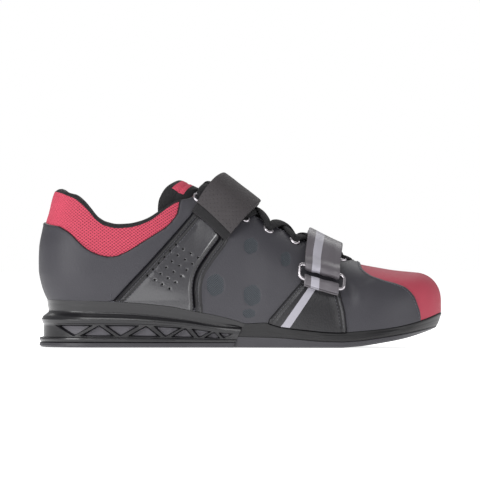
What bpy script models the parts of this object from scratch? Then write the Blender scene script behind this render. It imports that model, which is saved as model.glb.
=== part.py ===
"""Weightlifting shoe for the right foot, as an assembly of separate pieces.

Units are metres, +Z is up, +X runs from heel to toe and -Y is the outer side of the foot.
The origin is on the floor, under the middle of the shoe's length.
"""

import math

import bmesh
import bpy
import numpy as np
from mathutils import Vector

# Driving sizes of the last
LAST_LENGTH = 0.291
BALL_WIDTH = 0.098
HEEL_HEIGHT = 0.035
INSTEP_HEIGHT = 0.110
COLLAR_HEIGHT = 0.1165
HEEL_BULGE = 0.0082

# Walls, layers and the clearance between touching pieces
GAP = 0.0003
UPPER_WALL = 0.0022
COLLAR_PADDING = 0.0045
OVERLAY = 0.0012
SEAM_GAP = 0.0008
TONGUE_THICKNESS = 0.0050
TONGUE_RISE = 0.0048
TONGUE_CLEARANCE = 0.0016
TONGUE_CROWN = 0.0016
TONGUE_TOP = 0.328
TONGUE_BACK = 0.046
INSOLE_THICKNESS = 0.0040

# Throat, eyelets and laces
THROAT_HALF = 0.0090
THROAT_TOP = 0.33
THROAT_START = 0.66
THROAT_END = 0.768
EYELET_MARGIN = 0.0100
EYELET_HOLE = 0.0022
EYELET_RIM = 0.0038
EYELET_PROUD = 0.0009
EYELET_ROWS = (0.379, 0.437, 0.495, 0.556, 0.624, 0.690, 0.742)
LACE_WIDTH = 0.0062
LACE_THICKNESS = 0.0020
LACE_STAGGER = 0.0009
LACE_CLEARANCE = 0.0006

# Straps and rings
STRAP_THICKNESS = 0.0018
STRAP_CLEARANCE = 0.0012
FRONT_STRAP_WIDTH = 0.0250
FRONT_STRAP_PLACE = 0.691
FRONT_RING_REACH = 0.0500
FRONT_TAIL_REACH = 0.0300
FRONT_ANCHOR_REACH = 0.0490
TOP_STRAP_WIDTH = 0.0290
TOP_STRAP_PLACE = 0.470
TOP_STRAP_SLANT = 0.60
TOP_STRAP_BOW = 0.0048
TOP_RING_REACH = 0.0430
TOP_TAIL_REACH = 0.0340
TOP_ANCHOR_REACH = 0.0400
RING_BAR = 0.0028
RING_HEIGHT = 0.0135
RING_SIDE = 0.0023
TAB_LENGTH = 0.0043
FOLD_REACH = 0.0100

# Sole
OUTSOLE_THICKNESS = 0.0035
RIM_LEDGE = 0.0018
HEEL_FLARE = 0.0056
CHORD_FLARE = 0.0074
FOREFOOT_FLARE = 0.0040
TOE_UNDERCUT = 0.0090
TOE_SPRING = 0.0115
INSOLE_CLEARANCE = 0.0008
SOLE_JOINT = 0.470
JOINT_SLANT = 0.42
WINDOW_DEPTH = 0.0045
WINDOW_INSET = 0.06
GROOVE_DEPTH = 0.0012
GROOVE_WIDTH = 0.0024
GROOVE_PITCH = 0.0125
GROOVE_MARGIN = 0.0120

# Reach of the laces from the ridge
LACE_REACH = 0.0255

# Mesh density
STATIONS = 34
RISES = 7
STRAP_STEPS = 10
TAB_STEPS = 4
STRAP_COLUMNS = 5
LACE_STEPS = 5

# Sections of the last. "outer" and "inner" are the feather line's two sides and "ridge" the top
# line, as shares of the ball width; "crown" is the closed top as a share of the instep height;
# "rise" and "spread" are the powers of the section's superellipse.
SECTION_COLUMNS = ("along", "outer", "inner", "ridge", "crown", "rise", "spread")
SECTIONS = (
    (0.00, -0.316, 0.316, 0.000, 1.700, 2.2, 2.0),
    (0.06, -0.330, 0.328, 0.000, 1.680, 2.2, 2.0),
    (0.15, -0.347, 0.337, 0.000, 1.600, 2.1, 2.0),
    (0.25, -0.357, 0.330, 0.000, 1.290, 2.0, 2.0),
    (0.33, -0.366, 0.318, 0.000, 1.130, 2.0, 1.9),
    (0.40, -0.378, 0.311, 0.000, 1.070, 2.1, 1.9),
    (0.47, -0.400, 0.320, 0.000, 0.975, 2.2, 1.9),
    (0.56, -0.444, 0.358, 0.005, 0.836, 2.2, 1.9),
    (0.65, -0.487, 0.424, 0.012, 0.717, 2.1, 2.0),
    (0.75, -0.505, 0.485, 0.026, 0.592, 2.1, 2.2),
    (0.79, -0.502, 0.496, 0.034, 0.558, 2.2, 2.2),
    (0.83, -0.492, 0.500, 0.044, 0.537, 2.3, 2.3),
    (0.88, -0.469, 0.500, 0.061, 0.515, 2.5, 2.4),
    (0.94, -0.439, 0.490, 0.082, 0.499, 2.6, 2.5),
    (1.00, -0.408, 0.480, 0.102, 0.482, 2.6, 2.6),
)
HEEL_ROUND = (0.115, 2.1)
TOE_ROUND = (0.800, 2.3)
CROWN_DROP = (0.940, 2.2)
TOE_TIP_CROWN = 0.305

# Height of the sole's rim along the foot, as a share of the heel height
RIM_COLUMNS = ("along", "rim")
RIM = (
    (0.000, 1.000), (0.163, 0.960), (0.301, 0.866), (0.364, 0.766), (0.434, 0.654),
    (0.478, 0.557), (0.502, 0.500), (0.548, 0.520), (0.587, 0.440), (0.641, 0.377),
    (0.733, 0.315), (0.810, 0.357), (0.880, 0.430), (0.948, 0.571), (1.000, 0.730),
)

# Collar edge seen from the side: along, and height as a share of the collar height
COLLAR_COLUMNS = ("along", "edge")
COLLAR = (
    (0.024, 1.000), (0.040, 0.985), (0.066, 0.959), (0.085, 0.922), (0.105, 0.868),
    (0.124, 0.814), (0.144, 0.785), (0.173, 0.770), (0.203, 0.774), (0.232, 0.791),
    (0.255, 0.815), (0.283, 0.859), (0.329, 0.930), (0.358, 0.945), (0.375, 0.985),
    (0.390, 1.060), (0.420, 1.400),
)

# Back seam: height share between rim and collar, and offset outwards in heel bulges
BACK_COLUMNS = ("height", "offset")
BACK = (
    (0.00, 0.00), (0.069, 0.33), (0.152, 0.60), (0.256, 0.79), (0.346, 0.81), (0.47, 0.77),
    (0.625, 0.50), (0.72, 0.28), (0.77, 0.12), (0.98, -0.46), (1.00, -0.70), (1.40, -2.00),
)
HEEL_OVERHANG = HEEL_BULGE * max(row[1] for row in BACK) + GAP + OVERLAY
HEEL_CENTRE = (LAST_LENGTH - HEEL_OVERHANG) / 2
BACK_WEIGHT_COLUMNS = ("along", "weight")
BACK_WEIGHT = ((0.00, 1.00), (0.05, 0.75), (0.12, 0.42), (0.25, 0.20), (0.40, 0.00))

# Seams seen from the side: along, and height as a share of the collar height
SEAM_COUNTER = ((0.160, 0.240), (0.167, 0.300), (0.267, 0.570), (0.370, 0.862), (0.430, 1.060))
SEAM_STRAP_PANEL = (
    (0.371, 0.160), (0.371, 0.240), (0.368, 0.382), (0.377, 0.480), (0.400, 0.573), (0.435, 0.690),
)
COUNTER_EDGE = (
    (-0.060, 0.812), (0.000, 0.793), (0.028, 0.768), (0.055, 0.725), (0.078, 0.668),
    (0.102, 0.619), (0.127, 0.590), (0.154, 0.577), (0.177, 0.585), (0.206, 0.619),
    (0.238, 0.669), (0.266, 0.713), (0.299, 0.768), (0.320, 0.827), (0.326, 0.857), (0.334, 0.960),
)
TOE_EDGE = (
    (0.792, 0.560), (0.796, 0.498), (0.816, 0.455), (0.847, 0.424), (0.883, 0.400), (0.907, 0.375),
    (0.927, 0.325), (0.936, 0.270), (0.943, 0.209), (0.946, 0.080),
)
SEAM_MIDDLE = ((0.700, 0.060), (0.700, 0.900))
ANCHOR_OUTER = (
    (0.550, 0.080), (0.552, 0.158), (0.645, 0.425), (0.737, 0.365), (0.752, 0.230), (0.760, 0.060),
)
ANCHOR_INNER = (
    (0.600, 0.060), (0.612, 0.170), (0.650, 0.440), (0.745, 0.390), (0.755, 0.230), (0.762, 0.060),
)

# Levels of the heel unit as shares of the heel height: the step under the rim, the flange's
# widest line, and the top and bottom of the truss
HEEL_COLUMNS = ("along", "step", "flange", "truss_top", "truss_bottom")
HEEL_LEVELS = (
    (0.00, 0.760, 0.610, 0.490, 0.200),
    (0.19, 0.720, 0.580, 0.485, 0.195),
    (0.34, 0.590, 0.500, 0.430, 0.180),
    (0.43, 0.470, 0.400, 0.330, 0.165),
    (0.52, 0.420, 0.330, 0.255, 0.155),
)
FLARE_COLUMNS = ("along", "weight")
FLARE = ((0.00, 1.00), (0.25, 0.95), (0.38, 0.70), (0.47, 0.55), (0.55, 0.60), (0.70, 1.00))

# Underside of the forefoot as a share of the toe spring, and its side band in outsole thicknesses
SPRING_COLUMNS = ("along", "height")
SPRING = ((0.745, 0.00), (0.785, 0.08), (0.858, 0.37), (0.931, 0.68), (1.00, 1.00))
BAND_COLUMNS = ("along", "band")
BAND = ((0.47, 2.25), (0.57, 2.10), (0.72, 1.25), (0.85, 1.10), (1.00, 1.05))

# Windows of the heel truss along one side: centre, half width, and 1 for apex up
WINDOW_COLUMNS = ("centre", "half", "apex_up")
WINDOWS = (
    (0.068, 0.044, 0), (0.123, 0.044, 1), (0.178, 0.045, 0), (0.237, 0.043, 1), (0.290, 0.037, 0),
    (0.333, 0.031, 1), (0.374, 0.027, 0), (0.407, 0.022, 1), (0.436, 0.020, 0),
)

MATERIALS = {
    "red_mesh": ((0.60, 0.06, 0.11), 0.75, 0.0),
    "dark_synthetic": ((0.065, 0.065, 0.075), 0.50, 0.0),
    "glossy_synthetic": ((0.050, 0.050, 0.060), 0.28, 0.0),
    "moulded_heel": ((0.035, 0.034, 0.038), 0.22, 0.0),
    "rubber": ((0.060, 0.058, 0.065), 0.55, 0.0),
    "webbing": ((0.055, 0.053, 0.056), 0.60, 0.0),
    "lace": ((0.030, 0.028, 0.030), 0.80, 0.0),
    "steel": ((0.62, 0.61, 0.62), 0.25, 1.0),
    "foam": ((0.045, 0.045, 0.050), 0.85, 0.0),
}


def curve(rows, place, column=1):
    """Smooth curve without overshoot through a table's rows, read at one place or an array."""
    table = np.array(rows, float)
    xs, ys = table[:, 0], table[:, column]
    steps = np.diff(xs)
    slopes = np.diff(ys) / steps
    before, after = slopes[:-1], slopes[1:]
    same = before * after > 0
    total = np.where(same, before + after, 1.0)
    inner = np.where(same, 2 * before * after / total, 0.0)
    tangents = np.concatenate([slopes[:1], inner, slopes[-1:]])
    place = np.clip(place, xs[0], xs[-1])
    i = np.clip(np.searchsorted(xs, place) - 1, 0, len(xs) - 2)
    t = (place - xs[i]) / steps[i]
    return (
        ys[i] * (2 * t**3 - 3 * t**2 + 1)
        + ys[i + 1] * (3 * t**2 - 2 * t**3)
        + steps[i] * (tangents[i] * (t**3 - 2 * t**2 + t) + tangents[i + 1] * (t**3 - t**2))
    )


def section(name, along):
    """One column of the section table at a share of the last's length."""
    return curve(SECTIONS, along, SECTION_COLUMNS.index(name))


def round_end(distance, power):
    """Superellipse factor: 1 while distance is 0 or less, falling to 0 at distance 1."""
    return np.clip(1 - np.clip(distance, 0, 1) ** power, 0, 1) ** (1 / power)


def rim_height(along):
    """Top of the sole's rim, on which the upper stands."""
    return HEEL_HEIGHT * curve(RIM, along)


def crown_height(along):
    """Top line of the closed last."""
    start, power = CROWN_DROP
    tip = INSTEP_HEIGHT * TOE_TIP_CROWN
    drop = round_end((along - start) / (1 - start), power)
    return tip + (INSTEP_HEIGHT * section("crown", along) - tip) * drop


def along_of(stretch):
    """Share of the length for an even walk from heel (0) to toe (1), dense at both ends."""
    return (1 - np.cos(np.pi * stretch)) / 2


def stretch_of(along):
    """The inverse of along_of."""
    return np.arccos(np.clip(1 - 2 * along, -1, 1)) / np.pi


def feather(stretch, side):
    """Plan outline of the upper. side is -1 for the outer and 1 for the inner half."""
    along = along_of(stretch)
    heel_reach, heel_power = HEEL_ROUND
    toe_start, toe_power = TOE_ROUND
    cap = round_end(1 - along / heel_reach, heel_power)
    cap = cap * round_end((along - toe_start) / (1 - toe_start), toe_power)
    ridge = section("ridge", along)
    edge = np.where(side < 0, section("outer", along), section("inner", along))
    across = ridge + (edge - ridge) * cap
    return along * LAST_LENGTH - HEEL_CENTRE, across * BALL_WIDTH


def walk_round(walk):
    """Plan outline as one clockwise walk: -1 is the toe, 0 the heel by way of the outer side."""
    walk = (walk + 1) % 2 - 1
    return feather(np.abs(walk), np.where(walk < 0, -1.0, 1.0))


def plan_normal(stretch, side):
    """Outward direction of the plan outline."""
    step = 0.004
    x0, y0 = walk_round(side * stretch - step)
    x1, y1 = walk_round(side * stretch + step)
    size = np.hypot(x1 - x0, y1 - y0)
    return (y0 - y1) / size, (x1 - x0) / size


def skin(stretch, girth):
    """Point on the closed last, girth 0 at the outer feather, 1 on the ridge, 2 at the inner feather."""
    stretch, girth = np.broadcast_arrays(np.asarray(stretch, float), np.asarray(girth, float))
    turned = (stretch < 0) | (stretch > 1)
    stretch = np.where(stretch < 0, -stretch, np.where(stretch > 1, 2 - stretch, stretch))
    girth = np.where(turned, 2 - girth, girth)
    side = np.where(girth <= 1, -1.0, 1.0)
    angle = np.clip(np.where(girth <= 1, girth, 2 - girth), 0, 1) * np.pi / 2
    along = along_of(stretch)
    rise, spread = section("rise", along), section("spread", along)
    x, y = feather(stretch, side)
    ridge = section("ridge", along) * BALL_WIDTH
    low, high = rim_height(along) + GAP, crown_height(along)
    z = low + (high - low) * np.sin(angle) ** (2 / rise)
    y = ridge + (y - ridge) * np.cos(angle) ** (2 / spread)
    climb = (z - HEEL_HEIGHT) / (COLLAR_HEIGHT - HEEL_HEIGHT)
    offset = HEEL_BULGE * curve(BACK, np.clip(climb, 0, None)) * curve(BACK_WEIGHT, along)
    nx, ny = plan_normal(stretch, side)
    towards_ridge = np.clip(4 * np.cos(angle), 0, 1)
    return np.stack([x + nx * offset, y + ny * offset * towards_ridge, z], axis=-1)


def skin_normal(stretch, girth):
    """Outward normal of the closed last, not yet of unit length."""
    step = 0.006
    low, high = np.clip(girth - step, 0, 2), np.clip(girth + step, 0, 2)
    along_foot = skin(stretch + step, girth) - skin(stretch - step, girth)
    over_foot = skin(stretch, high) - skin(stretch, low)
    return np.cross(along_foot, over_foot)


def lifted(stretch, girth, lift):
    """Point at a height above the closed last, along its own normal. A negative lift is inside."""
    stretch, girth, lift = np.broadcast_arrays(
        np.asarray(stretch, float), np.asarray(girth, float), np.asarray(lift, float)
    )
    normal = skin_normal(stretch, girth)
    size = np.linalg.norm(normal, axis=-1, keepdims=True)
    ridge_end = skin_normal(np.clip(stretch, 0.012, 0.988), girth)
    normal = np.where(size < 1e-9, ridge_end, normal)
    normal = normal / np.linalg.norm(normal, axis=-1, keepdims=True)
    return skin(stretch, girth) + normal * lift[..., None]


def standing(stretch, girth, lift):
    """Lifted points of a grid whose first column stands on the sole's rim."""
    points = lifted(stretch, girth, lift)
    points[:, 0, 2] = skin(stretch, girth)[:, 0, 2]
    return points


def girth_at_height(stretch, side, height):
    """Girth at which the skin reaches a height."""
    along = along_of(stretch)
    low, high = rim_height(along) + GAP, crown_height(along)
    share = np.clip((height - low) / (high - low), 0, 1)
    turn = np.arcsin(share ** (section("rise", along) / 2)) / (np.pi / 2)
    return np.where(side < 0, turn, 2 - turn)


def girth_at_width(along, side, width):
    """Girth at which the skin lies at a distance across from the ridge."""
    _, y = feather(stretch_of(along), side)
    reach = np.abs(y - section("ridge", along) * BALL_WIDTH)
    share = np.clip(width / np.maximum(reach, 1e-6), 0, 1)
    turn = np.arccos(share ** (section("spread", along) / 2)) / (np.pi / 2)
    return np.where(side < 0, turn, 2 - turn)


def throat_half(along):
    """Half width of the throat, rounded off at its toe end."""
    return THROAT_HALF * round_end((along - THROAT_START) / (THROAT_END - THROAT_START), 2)


def open_girth(stretch, side):
    """Girth of the collar and throat edge, or the ridge where the vamp is closed."""
    along = along_of(stretch)
    x = along.copy()
    for _ in range(12):
        girth = girth_at_height(stretch, side, COLLAR_HEIGHT * curve(COLLAR, x))
        x = (skin(stretch, girth)[..., 0] + HEEL_CENTRE) / LAST_LENGTH
    collar = np.where(side < 0, girth, 2 - girth)
    throat = girth_at_width(along, side, throat_half(along))
    throat = np.where(side < 0, throat, 2 - throat)
    is_throat = (along > THROAT_TOP) & (along < THROAT_END)
    throat = np.where(is_throat, throat, 1.0)
    edge = np.minimum(collar, throat)
    return np.where(side < 0, edge, 2 - edge)


def material(name):
    """The named finish as a Principled BSDF material."""
    made = bpy.data.materials.get(name)
    if made:
        return made
    colour, roughness, metallic = MATERIALS[name]
    made = bpy.data.materials.new(name)
    made.use_nodes = True
    shader = made.node_tree.nodes["Principled BSDF"]
    shader.inputs["Base Color"].default_value = (*colour, 1)
    shader.inputs["Roughness"].default_value = roughness
    shader.inputs["Metallic"].default_value = metallic
    return made


def make_object(name, shape, finish):
    """Weld a bmesh, face it outwards and link it as a smooth shaded object."""
    bmesh.ops.remove_doubles(shape, verts=shape.verts, dist=0.000004)
    bmesh.ops.dissolve_degenerate(shape, dist=0.000002, edges=shape.edges)
    bmesh.ops.recalc_face_normals(shape, faces=shape.faces)
    if shape.calc_volume(signed=True) < 0:
        bmesh.ops.reverse_faces(shape, faces=shape.faces)
    mesh = bpy.data.meshes.new(name)
    shape.to_mesh(mesh)
    shape.free()
    made = bpy.data.objects.new(name, mesh)
    bpy.context.scene.collection.objects.link(made)
    mesh.materials.append(material(finish))
    mesh.shade_smooth()
    mesh.set_sharp_from_angle(angle=math.radians(35))
    return made


def quads(shape, rows, closed=False):
    """Faces between neighbouring rows of vertices."""
    for near, far in zip(rows, rows[1:]):
        count = len(near) if closed else len(near) - 1
        for j in range(count):
            k = (j + 1) % len(near)
            corners = [near[j], near[k], far[k], far[j]]
            if len(set(corners)) == 4:
                shape.faces.new(corners)


def add_rows(shape, points):
    """Vertices for a grid of points."""
    return [[shape.verts.new(p) for p in row] for row in points]


def upper_stations():
    """Even stations from heel to toe, with a few more where the throat ends."""
    even = np.linspace(0, 1, STATIONS + 1)
    ends = stretch_of(THROAT_END - np.array([0.014, 0.005, 0.001, 0.0]))
    clear = np.min(np.abs(even[:, None] - ends[None, :]), axis=1) > 0.25 / STATIONS
    return np.sort(np.concatenate([even[clear], ends]))


def shell(outside, inside):
    """Closed wall between two offsets of the upper, open at collar, throat and underneath."""
    shape = bmesh.new()
    stretch = upper_stations()[:, None]
    rises = np.linspace(0, 1, RISES + 1)[None, :]
    for side in (-1.0, 1.0):
        edge = open_girth(stretch[:, 0], side)[:, None]
        girth = edge * rises if side < 0 else 2 - (2 - edge) * rises
        outer = add_rows(shape, standing(stretch, girth, outside(stretch, rises)))
        inner = add_rows(shape, standing(stretch, girth, inside(stretch, rises)))
        quads(shape, outer)
        quads(shape, inner)
        for i in range(len(outer) - 1):
            shape.faces.new([outer[i][0], outer[i + 1][0], inner[i + 1][0], inner[i][0]])
            is_open = abs(edge[i, 0] - 1) > 0.001 or abs(edge[i + 1, 0] - 1) > 0.001
            if is_open:
                shape.faces.new([outer[i][-1], outer[i + 1][-1], inner[i + 1][-1], inner[i][-1]])
    return shape


def padding(stretch, rises):
    """Depth of the upper's inner face: the wall, and foam towards the collar."""
    along = along_of(stretch)
    up = np.clip((rises - 0.35) / 0.40, 0, 1)
    back = np.clip((THROAT_TOP + 0.02 - along) / 0.10, 0, 1)
    return -(UPPER_WALL + COLLAR_PADDING * up * up * (3 - 2 * up) * back * back * (3 - 2 * back))


def make_upper():
    """Hollow base of the upper: mesh with its lining and collar foam."""
    return make_object("upper", shell(lambda s, r: 0 * s * r, padding), "red_mesh")


def side_point(along, height):
    """Point of the side plane for a share of the length and of the collar height."""
    return along * LAST_LENGTH - HEEL_CENTRE, height * COLLAR_HEIGHT


def prism(name, outline, near, far):
    """Cutter: a side outline drawn out across the foot from near to far."""
    shape = bmesh.new()
    first = [shape.verts.new((x, near, z)) for x, z in outline]
    last = [shape.verts.new((x, far, z)) for x, z in outline]
    shape.faces.new(first)
    shape.faces.new(last)
    quads(shape, [first, last], closed=True)
    cutter = make_object(name, shape, "foam")
    cutter.hide_render = True
    cutter.display_type = "WIRE"
    return cutter


def boolean(target, cutter, operation):
    """Boolean modifier, applied to the target; the cutter is removed."""
    modifier = target.modifiers.new(operation.lower(), "BOOLEAN")
    modifier.operation = operation
    modifier.object = cutter
    graph = bpy.context.evaluated_depsgraph_get()
    shape = bmesh.new()
    shape.from_object(target, graph)
    bmesh.ops.remove_doubles(shape, verts=shape.verts, dist=0.000004)
    bmesh.ops.dissolve_degenerate(shape, dist=0.000002, edges=shape.edges)
    target.modifiers.remove(modifier)
    shape.to_mesh(target.data)
    shape.free()
    bpy.data.objects.remove(cutter)
    return target


def seam(rows, shift):
    """Points of a seam in the side plane, moved along the foot by a shift."""
    return [(x + shift, z) for x, z in (side_point(a, h) for a, h in rows)]


def overlay(name, outline, sides, low, finish):
    """Layer of the upper cut from a thin shell by a side outline. sides is outer, inner or both."""
    top = low + OVERLAY
    made = make_object(name, shell(lambda s, r: top + 0 * s * r, lambda s, r: low + 0 * s * r), finish)
    reach = BALL_WIDTH
    near, far = {"outer": (-reach, 0.0), "inner": (0.0, reach), "both": (-reach, reach)}[sides]
    return boolean(made, prism(name + "_cutter", outline, near, far), "INTERSECT")


def make_overlays():
    """Counter, strap panels, quarters and vamp panel, side by side with open seams between them."""
    half = SEAM_GAP / 2
    below, above, behind = -COLLAR_HEIGHT, 2 * COLLAR_HEIGHT, -LAST_LENGTH
    counter_seam = seam(SEAM_COUNTER, -half)
    corner = (seam(COUNTER_EDGE[-1:], 0)[0][0], above)
    reach = [(counter_seam[-1][0], above), corner]
    outline = [(behind, below), (counter_seam[0][0], below)] + counter_seam + reach
    outline += seam(COUNTER_EDGE[:0:-1], 0) + [(behind, COLLAR_HEIGHT * COUNTER_EDGE[0][1])]
    made = [overlay("heel_counter", outline, "both", GAP, "dark_synthetic")]
    for side in ("outer", "inner"):
        rear, front = seam(SEAM_COUNTER[:-1], half), seam(SEAM_STRAP_PANEL, -half)
        outline = [(rear[0][0], below), (front[0][0], below)] + front + rear[::-1]
        made.append(overlay("strap_panel_" + side, outline, side, GAP, "glossy_synthetic"))
        rear, front = seam(SEAM_STRAP_PANEL, half), seam(SEAM_MIDDLE, -half)
        over = seam(SEAM_COUNTER[-2:], half)
        over[0] = (over[0][0], over[0][1] + SEAM_GAP)
        outline = [(rear[0][0], below), (front[0][0], below)] + front + [(front[0][0], above)]
        outline += [(over[1][0], above)] + over[::-1] + rear[::-1]
        made.append(overlay("quarter_" + side, outline, side, GAP, "dark_synthetic"))
    rear, front = seam(SEAM_MIDDLE, half), seam(TOE_EDGE, 0)
    outline = [(rear[0][0], below), (front[-1][0], below)] + front[::-1]
    outline += [(front[0][0], above), (rear[0][0], above)]
    made.append(overlay("vamp_panel", outline, "both", GAP, "dark_synthetic"))
    for side, edges in (("outer", ANCHOR_OUTER), ("inner", ANCHOR_INNER)):
        outline = seam(edges, 0)
        low = GAP + OVERLAY + GAP
        made.append(overlay("strap_anchor_" + side, outline, side, low, "glossy_synthetic"))
    return made


def make_tongue():
    """Padded tongue under the throat, its top edge standing out past the collar's corner."""
    shape = bmesh.new()
    spans = np.linspace(-1, 1, 15)[None, :]
    rows = np.linspace(0, 1, 14)[:, None]
    top = TONGUE_TOP - TONGUE_BACK * spans**2
    along = top + (THROAT_END + 0.02 - top) * rows
    reach = curve(((0.0, 0.51), (0.12, 0.50), (0.30, 0.45), (0.60, 0.34), (1.0, 0.22)), rows)
    girth = 1 + spans * reach
    stretch = stretch_of(along)
    side = np.where(spans < 0, -1.0, 1.0) + 0 * rows
    edge = open_girth(stretch, side)
    rises = np.clip(np.where(side < 0, girth / edge, (2 - girth) / (2 - edge)), 0, 1)
    near = np.where(side < 0, edge, 2 - edge)
    inside = np.clip(2.5 * (np.minimum(girth, 2 - girth) - near) / np.maximum(1 - near, 0.001), 0, 1)
    lip = np.clip((THROAT_TOP + 0.06 - along) / 0.10, 0, 1) * inside**2
    depth = padding(stretch, rises) - TONGUE_CLEARANCE + TONGUE_RISE * lip * (3 - 2 * inside)
    depth = depth + TONGUE_CROWN * inside**2
    full = TONGUE_THICKNESS * (1 - 0.45 * rows) * np.clip(1 - np.abs(spans) ** 6, 0.35, 1)
    roll = np.clip(rows / 0.08, 0.30, 1)
    outer = add_rows(shape, lifted(stretch, girth, depth - full * (1 - roll) * 0.5))
    inner = add_rows(shape, lifted(stretch, girth, depth - full * (1 + roll) * 0.5))
    close_sheet(shape, outer, inner)
    return make_object("tongue", shape, "foam")


def close_sheet(shape, outer, inner):
    """Faces of a slab between two grids of vertices."""
    quads(shape, outer)
    quads(shape, inner)
    quads(shape, [outer[0], inner[0]])
    quads(shape, [outer[-1], inner[-1]])
    quads(shape, [[r[0] for r in outer], [r[0] for r in inner]])
    quads(shape, [[r[-1] for r in outer], [r[-1] for r in inner]])


def heel_level(name, along):
    """One line of the heel unit's side, in metres above the floor."""
    return HEEL_HEIGHT * curve(HEEL_LEVELS, along, HEEL_COLUMNS.index(name))


def floor_height(along):
    """Underside of the sole: flat, then the toe spring."""
    return TOE_SPRING * curve(SPRING, along)


def band_height(along):
    """Top of the forefoot outsole's side band."""
    return floor_height(along) + OUTSOLE_THICKNESS * curve(BAND, along)


def toe_weight(along):
    """0 behind the toe, rising to 1 at its tip."""
    t = np.clip((along - 0.84) / 0.16, 0, 1)
    return t * t * (3 - 2 * t)


def flare(width, undercut):
    """Outward offset of a sole line: a width, turned into an undercut at the toe."""
    def at(along):
        toe = toe_weight(along)
        return width * curve(FLARE, along) * (1 - toe) - undercut * toe
    return at


def ledge(along):
    """Outward offset of the sole's rim."""
    return RIM_LEDGE * (1 - toe_weight(along))


def sole_body(levels):
    """Closed body over the whole foot. Each level is a height and an outward offset along the foot."""
    shape = bmesh.new()
    stretch = np.linspace(0, 1, STATIONS + 1)
    along = along_of(stretch)
    rings = []
    for height, offset in levels:
        ring = []
        for side in (-1.0, 1.0):
            x, y = feather(stretch, side)
            nx, ny = plan_normal(stretch, side)
            out = offset(along)
            points = np.stack([x + nx * out, y + ny * out, height(along)], axis=-1)
            ring.append([shape.verts.new(p) for p in points])
        rings.append(ring)
    for half in (0, 1):
        quads(shape, [ring[half] for ring in rings])
    quads(shape, rings[0])
    quads(shape, rings[-1])
    bmesh.ops.remove_doubles(shape, verts=shape.verts, dist=0.000004)
    return shape


def cut_flat(shape, x, keep_heel):
    """Cut a body with the slanted plane of the sole's joint and close the cut."""
    normal = Vector((1, 0, -JOINT_SLANT)).normalized()
    if not keep_heel:
        normal = -normal
    parts = shape.verts[:] + shape.edges[:] + shape.faces[:]
    bmesh.ops.bisect_plane(
        shape, geom=parts, dist=1e-7, plane_co=(x, 0, 0), plane_no=normal, clear_outer=True
    )
    rim = [edge for edge in shape.edges if edge.is_boundary]
    filled = bmesh.ops.contextual_create(shape, geom=rim)["faces"]
    bmesh.ops.triangulate(shape, faces=filled)
    return shape


def cut_grooves(target, first, last):
    """Shallow grooves across the underside between two places along the foot."""
    shape = bmesh.new()
    count = int((last - first - 2 * GROOVE_MARGIN) / GROOVE_PITCH) + 1
    start = (first + last - (count - 1) * GROOVE_PITCH) / 2
    for i in range(count):
        x = start + i * GROOVE_PITCH
        along = np.array([(x + HEEL_CENTRE) / LAST_LENGTH])
        base = float(floor_height(along)[0])
        _, low = feather(stretch_of(along), -1.0)
        _, high = feather(stretch_of(along), 1.0)
        low, high = float(low[0]) + GROOVE_MARGIN / 2, float(high[0]) - GROOVE_MARGIN / 2
        rows = []
        for dx in (-GROOVE_WIDTH / 2, GROOVE_WIDTH / 2):
            rows.append([
                shape.verts.new((x + dx, low, base - GROOVE_DEPTH)),
                shape.verts.new((x + dx, high, base - GROOVE_DEPTH)),
                shape.verts.new((x + dx, high, base + GROOVE_DEPTH)),
                shape.verts.new((x + dx, low, base + GROOVE_DEPTH)),
            ])
        quads(shape, rows, closed=True)
        shape.faces.new(rows[0])
        shape.faces.new(rows[1])
    cutter = make_object(target.name + "_cutter", shape, "rubber")
    return boolean(target, cutter, "DIFFERENCE")


def cut_windows(target):
    """Triangular pockets of the heel truss, on both sides."""
    shape = bmesh.new()
    depths = (GROOVE_DEPTH * 2, -WINDOW_DEPTH)
    for side in (-1.0, 1.0):
        for centre, half, apex_up in WINDOWS:
            ends = []
            for depth in depths:
                corners = []
                for shift, is_apex in ((-half, 0), (half, 0), (0.0, 1)):
                    along = np.array([max(centre + shift, 0.0)])
                    up = is_apex if apex_up else 1 - is_apex
                    inset = WINDOW_INSET * (heel_level("truss_top", along) - heel_level("truss_bottom", along))
                    top = heel_level("truss_top", along) - inset
                    low = heel_level("truss_bottom", along) + inset
                    stretch = stretch_of(along)
                    x, y = feather(stretch, side)
                    nx, ny = plan_normal(stretch, side)
                    out = HEEL_FLARE * curve(FLARE, along) + depth
                    z = top if up else low
                    corner = ((x + nx * out)[0], (y + ny * out)[0], z[0])
                    corners.append(shape.verts.new([float(value) for value in corner]))
                ends.append(corners)
            quads(shape, ends, closed=True)
            shape.faces.new(ends[0])
            shape.faces.new(ends[1])
    bmesh.ops.triangulate(shape, faces=shape.faces)
    return boolean(target, make_object("window_cutter", shape, "moulded_heel"), "DIFFERENCE")


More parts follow.
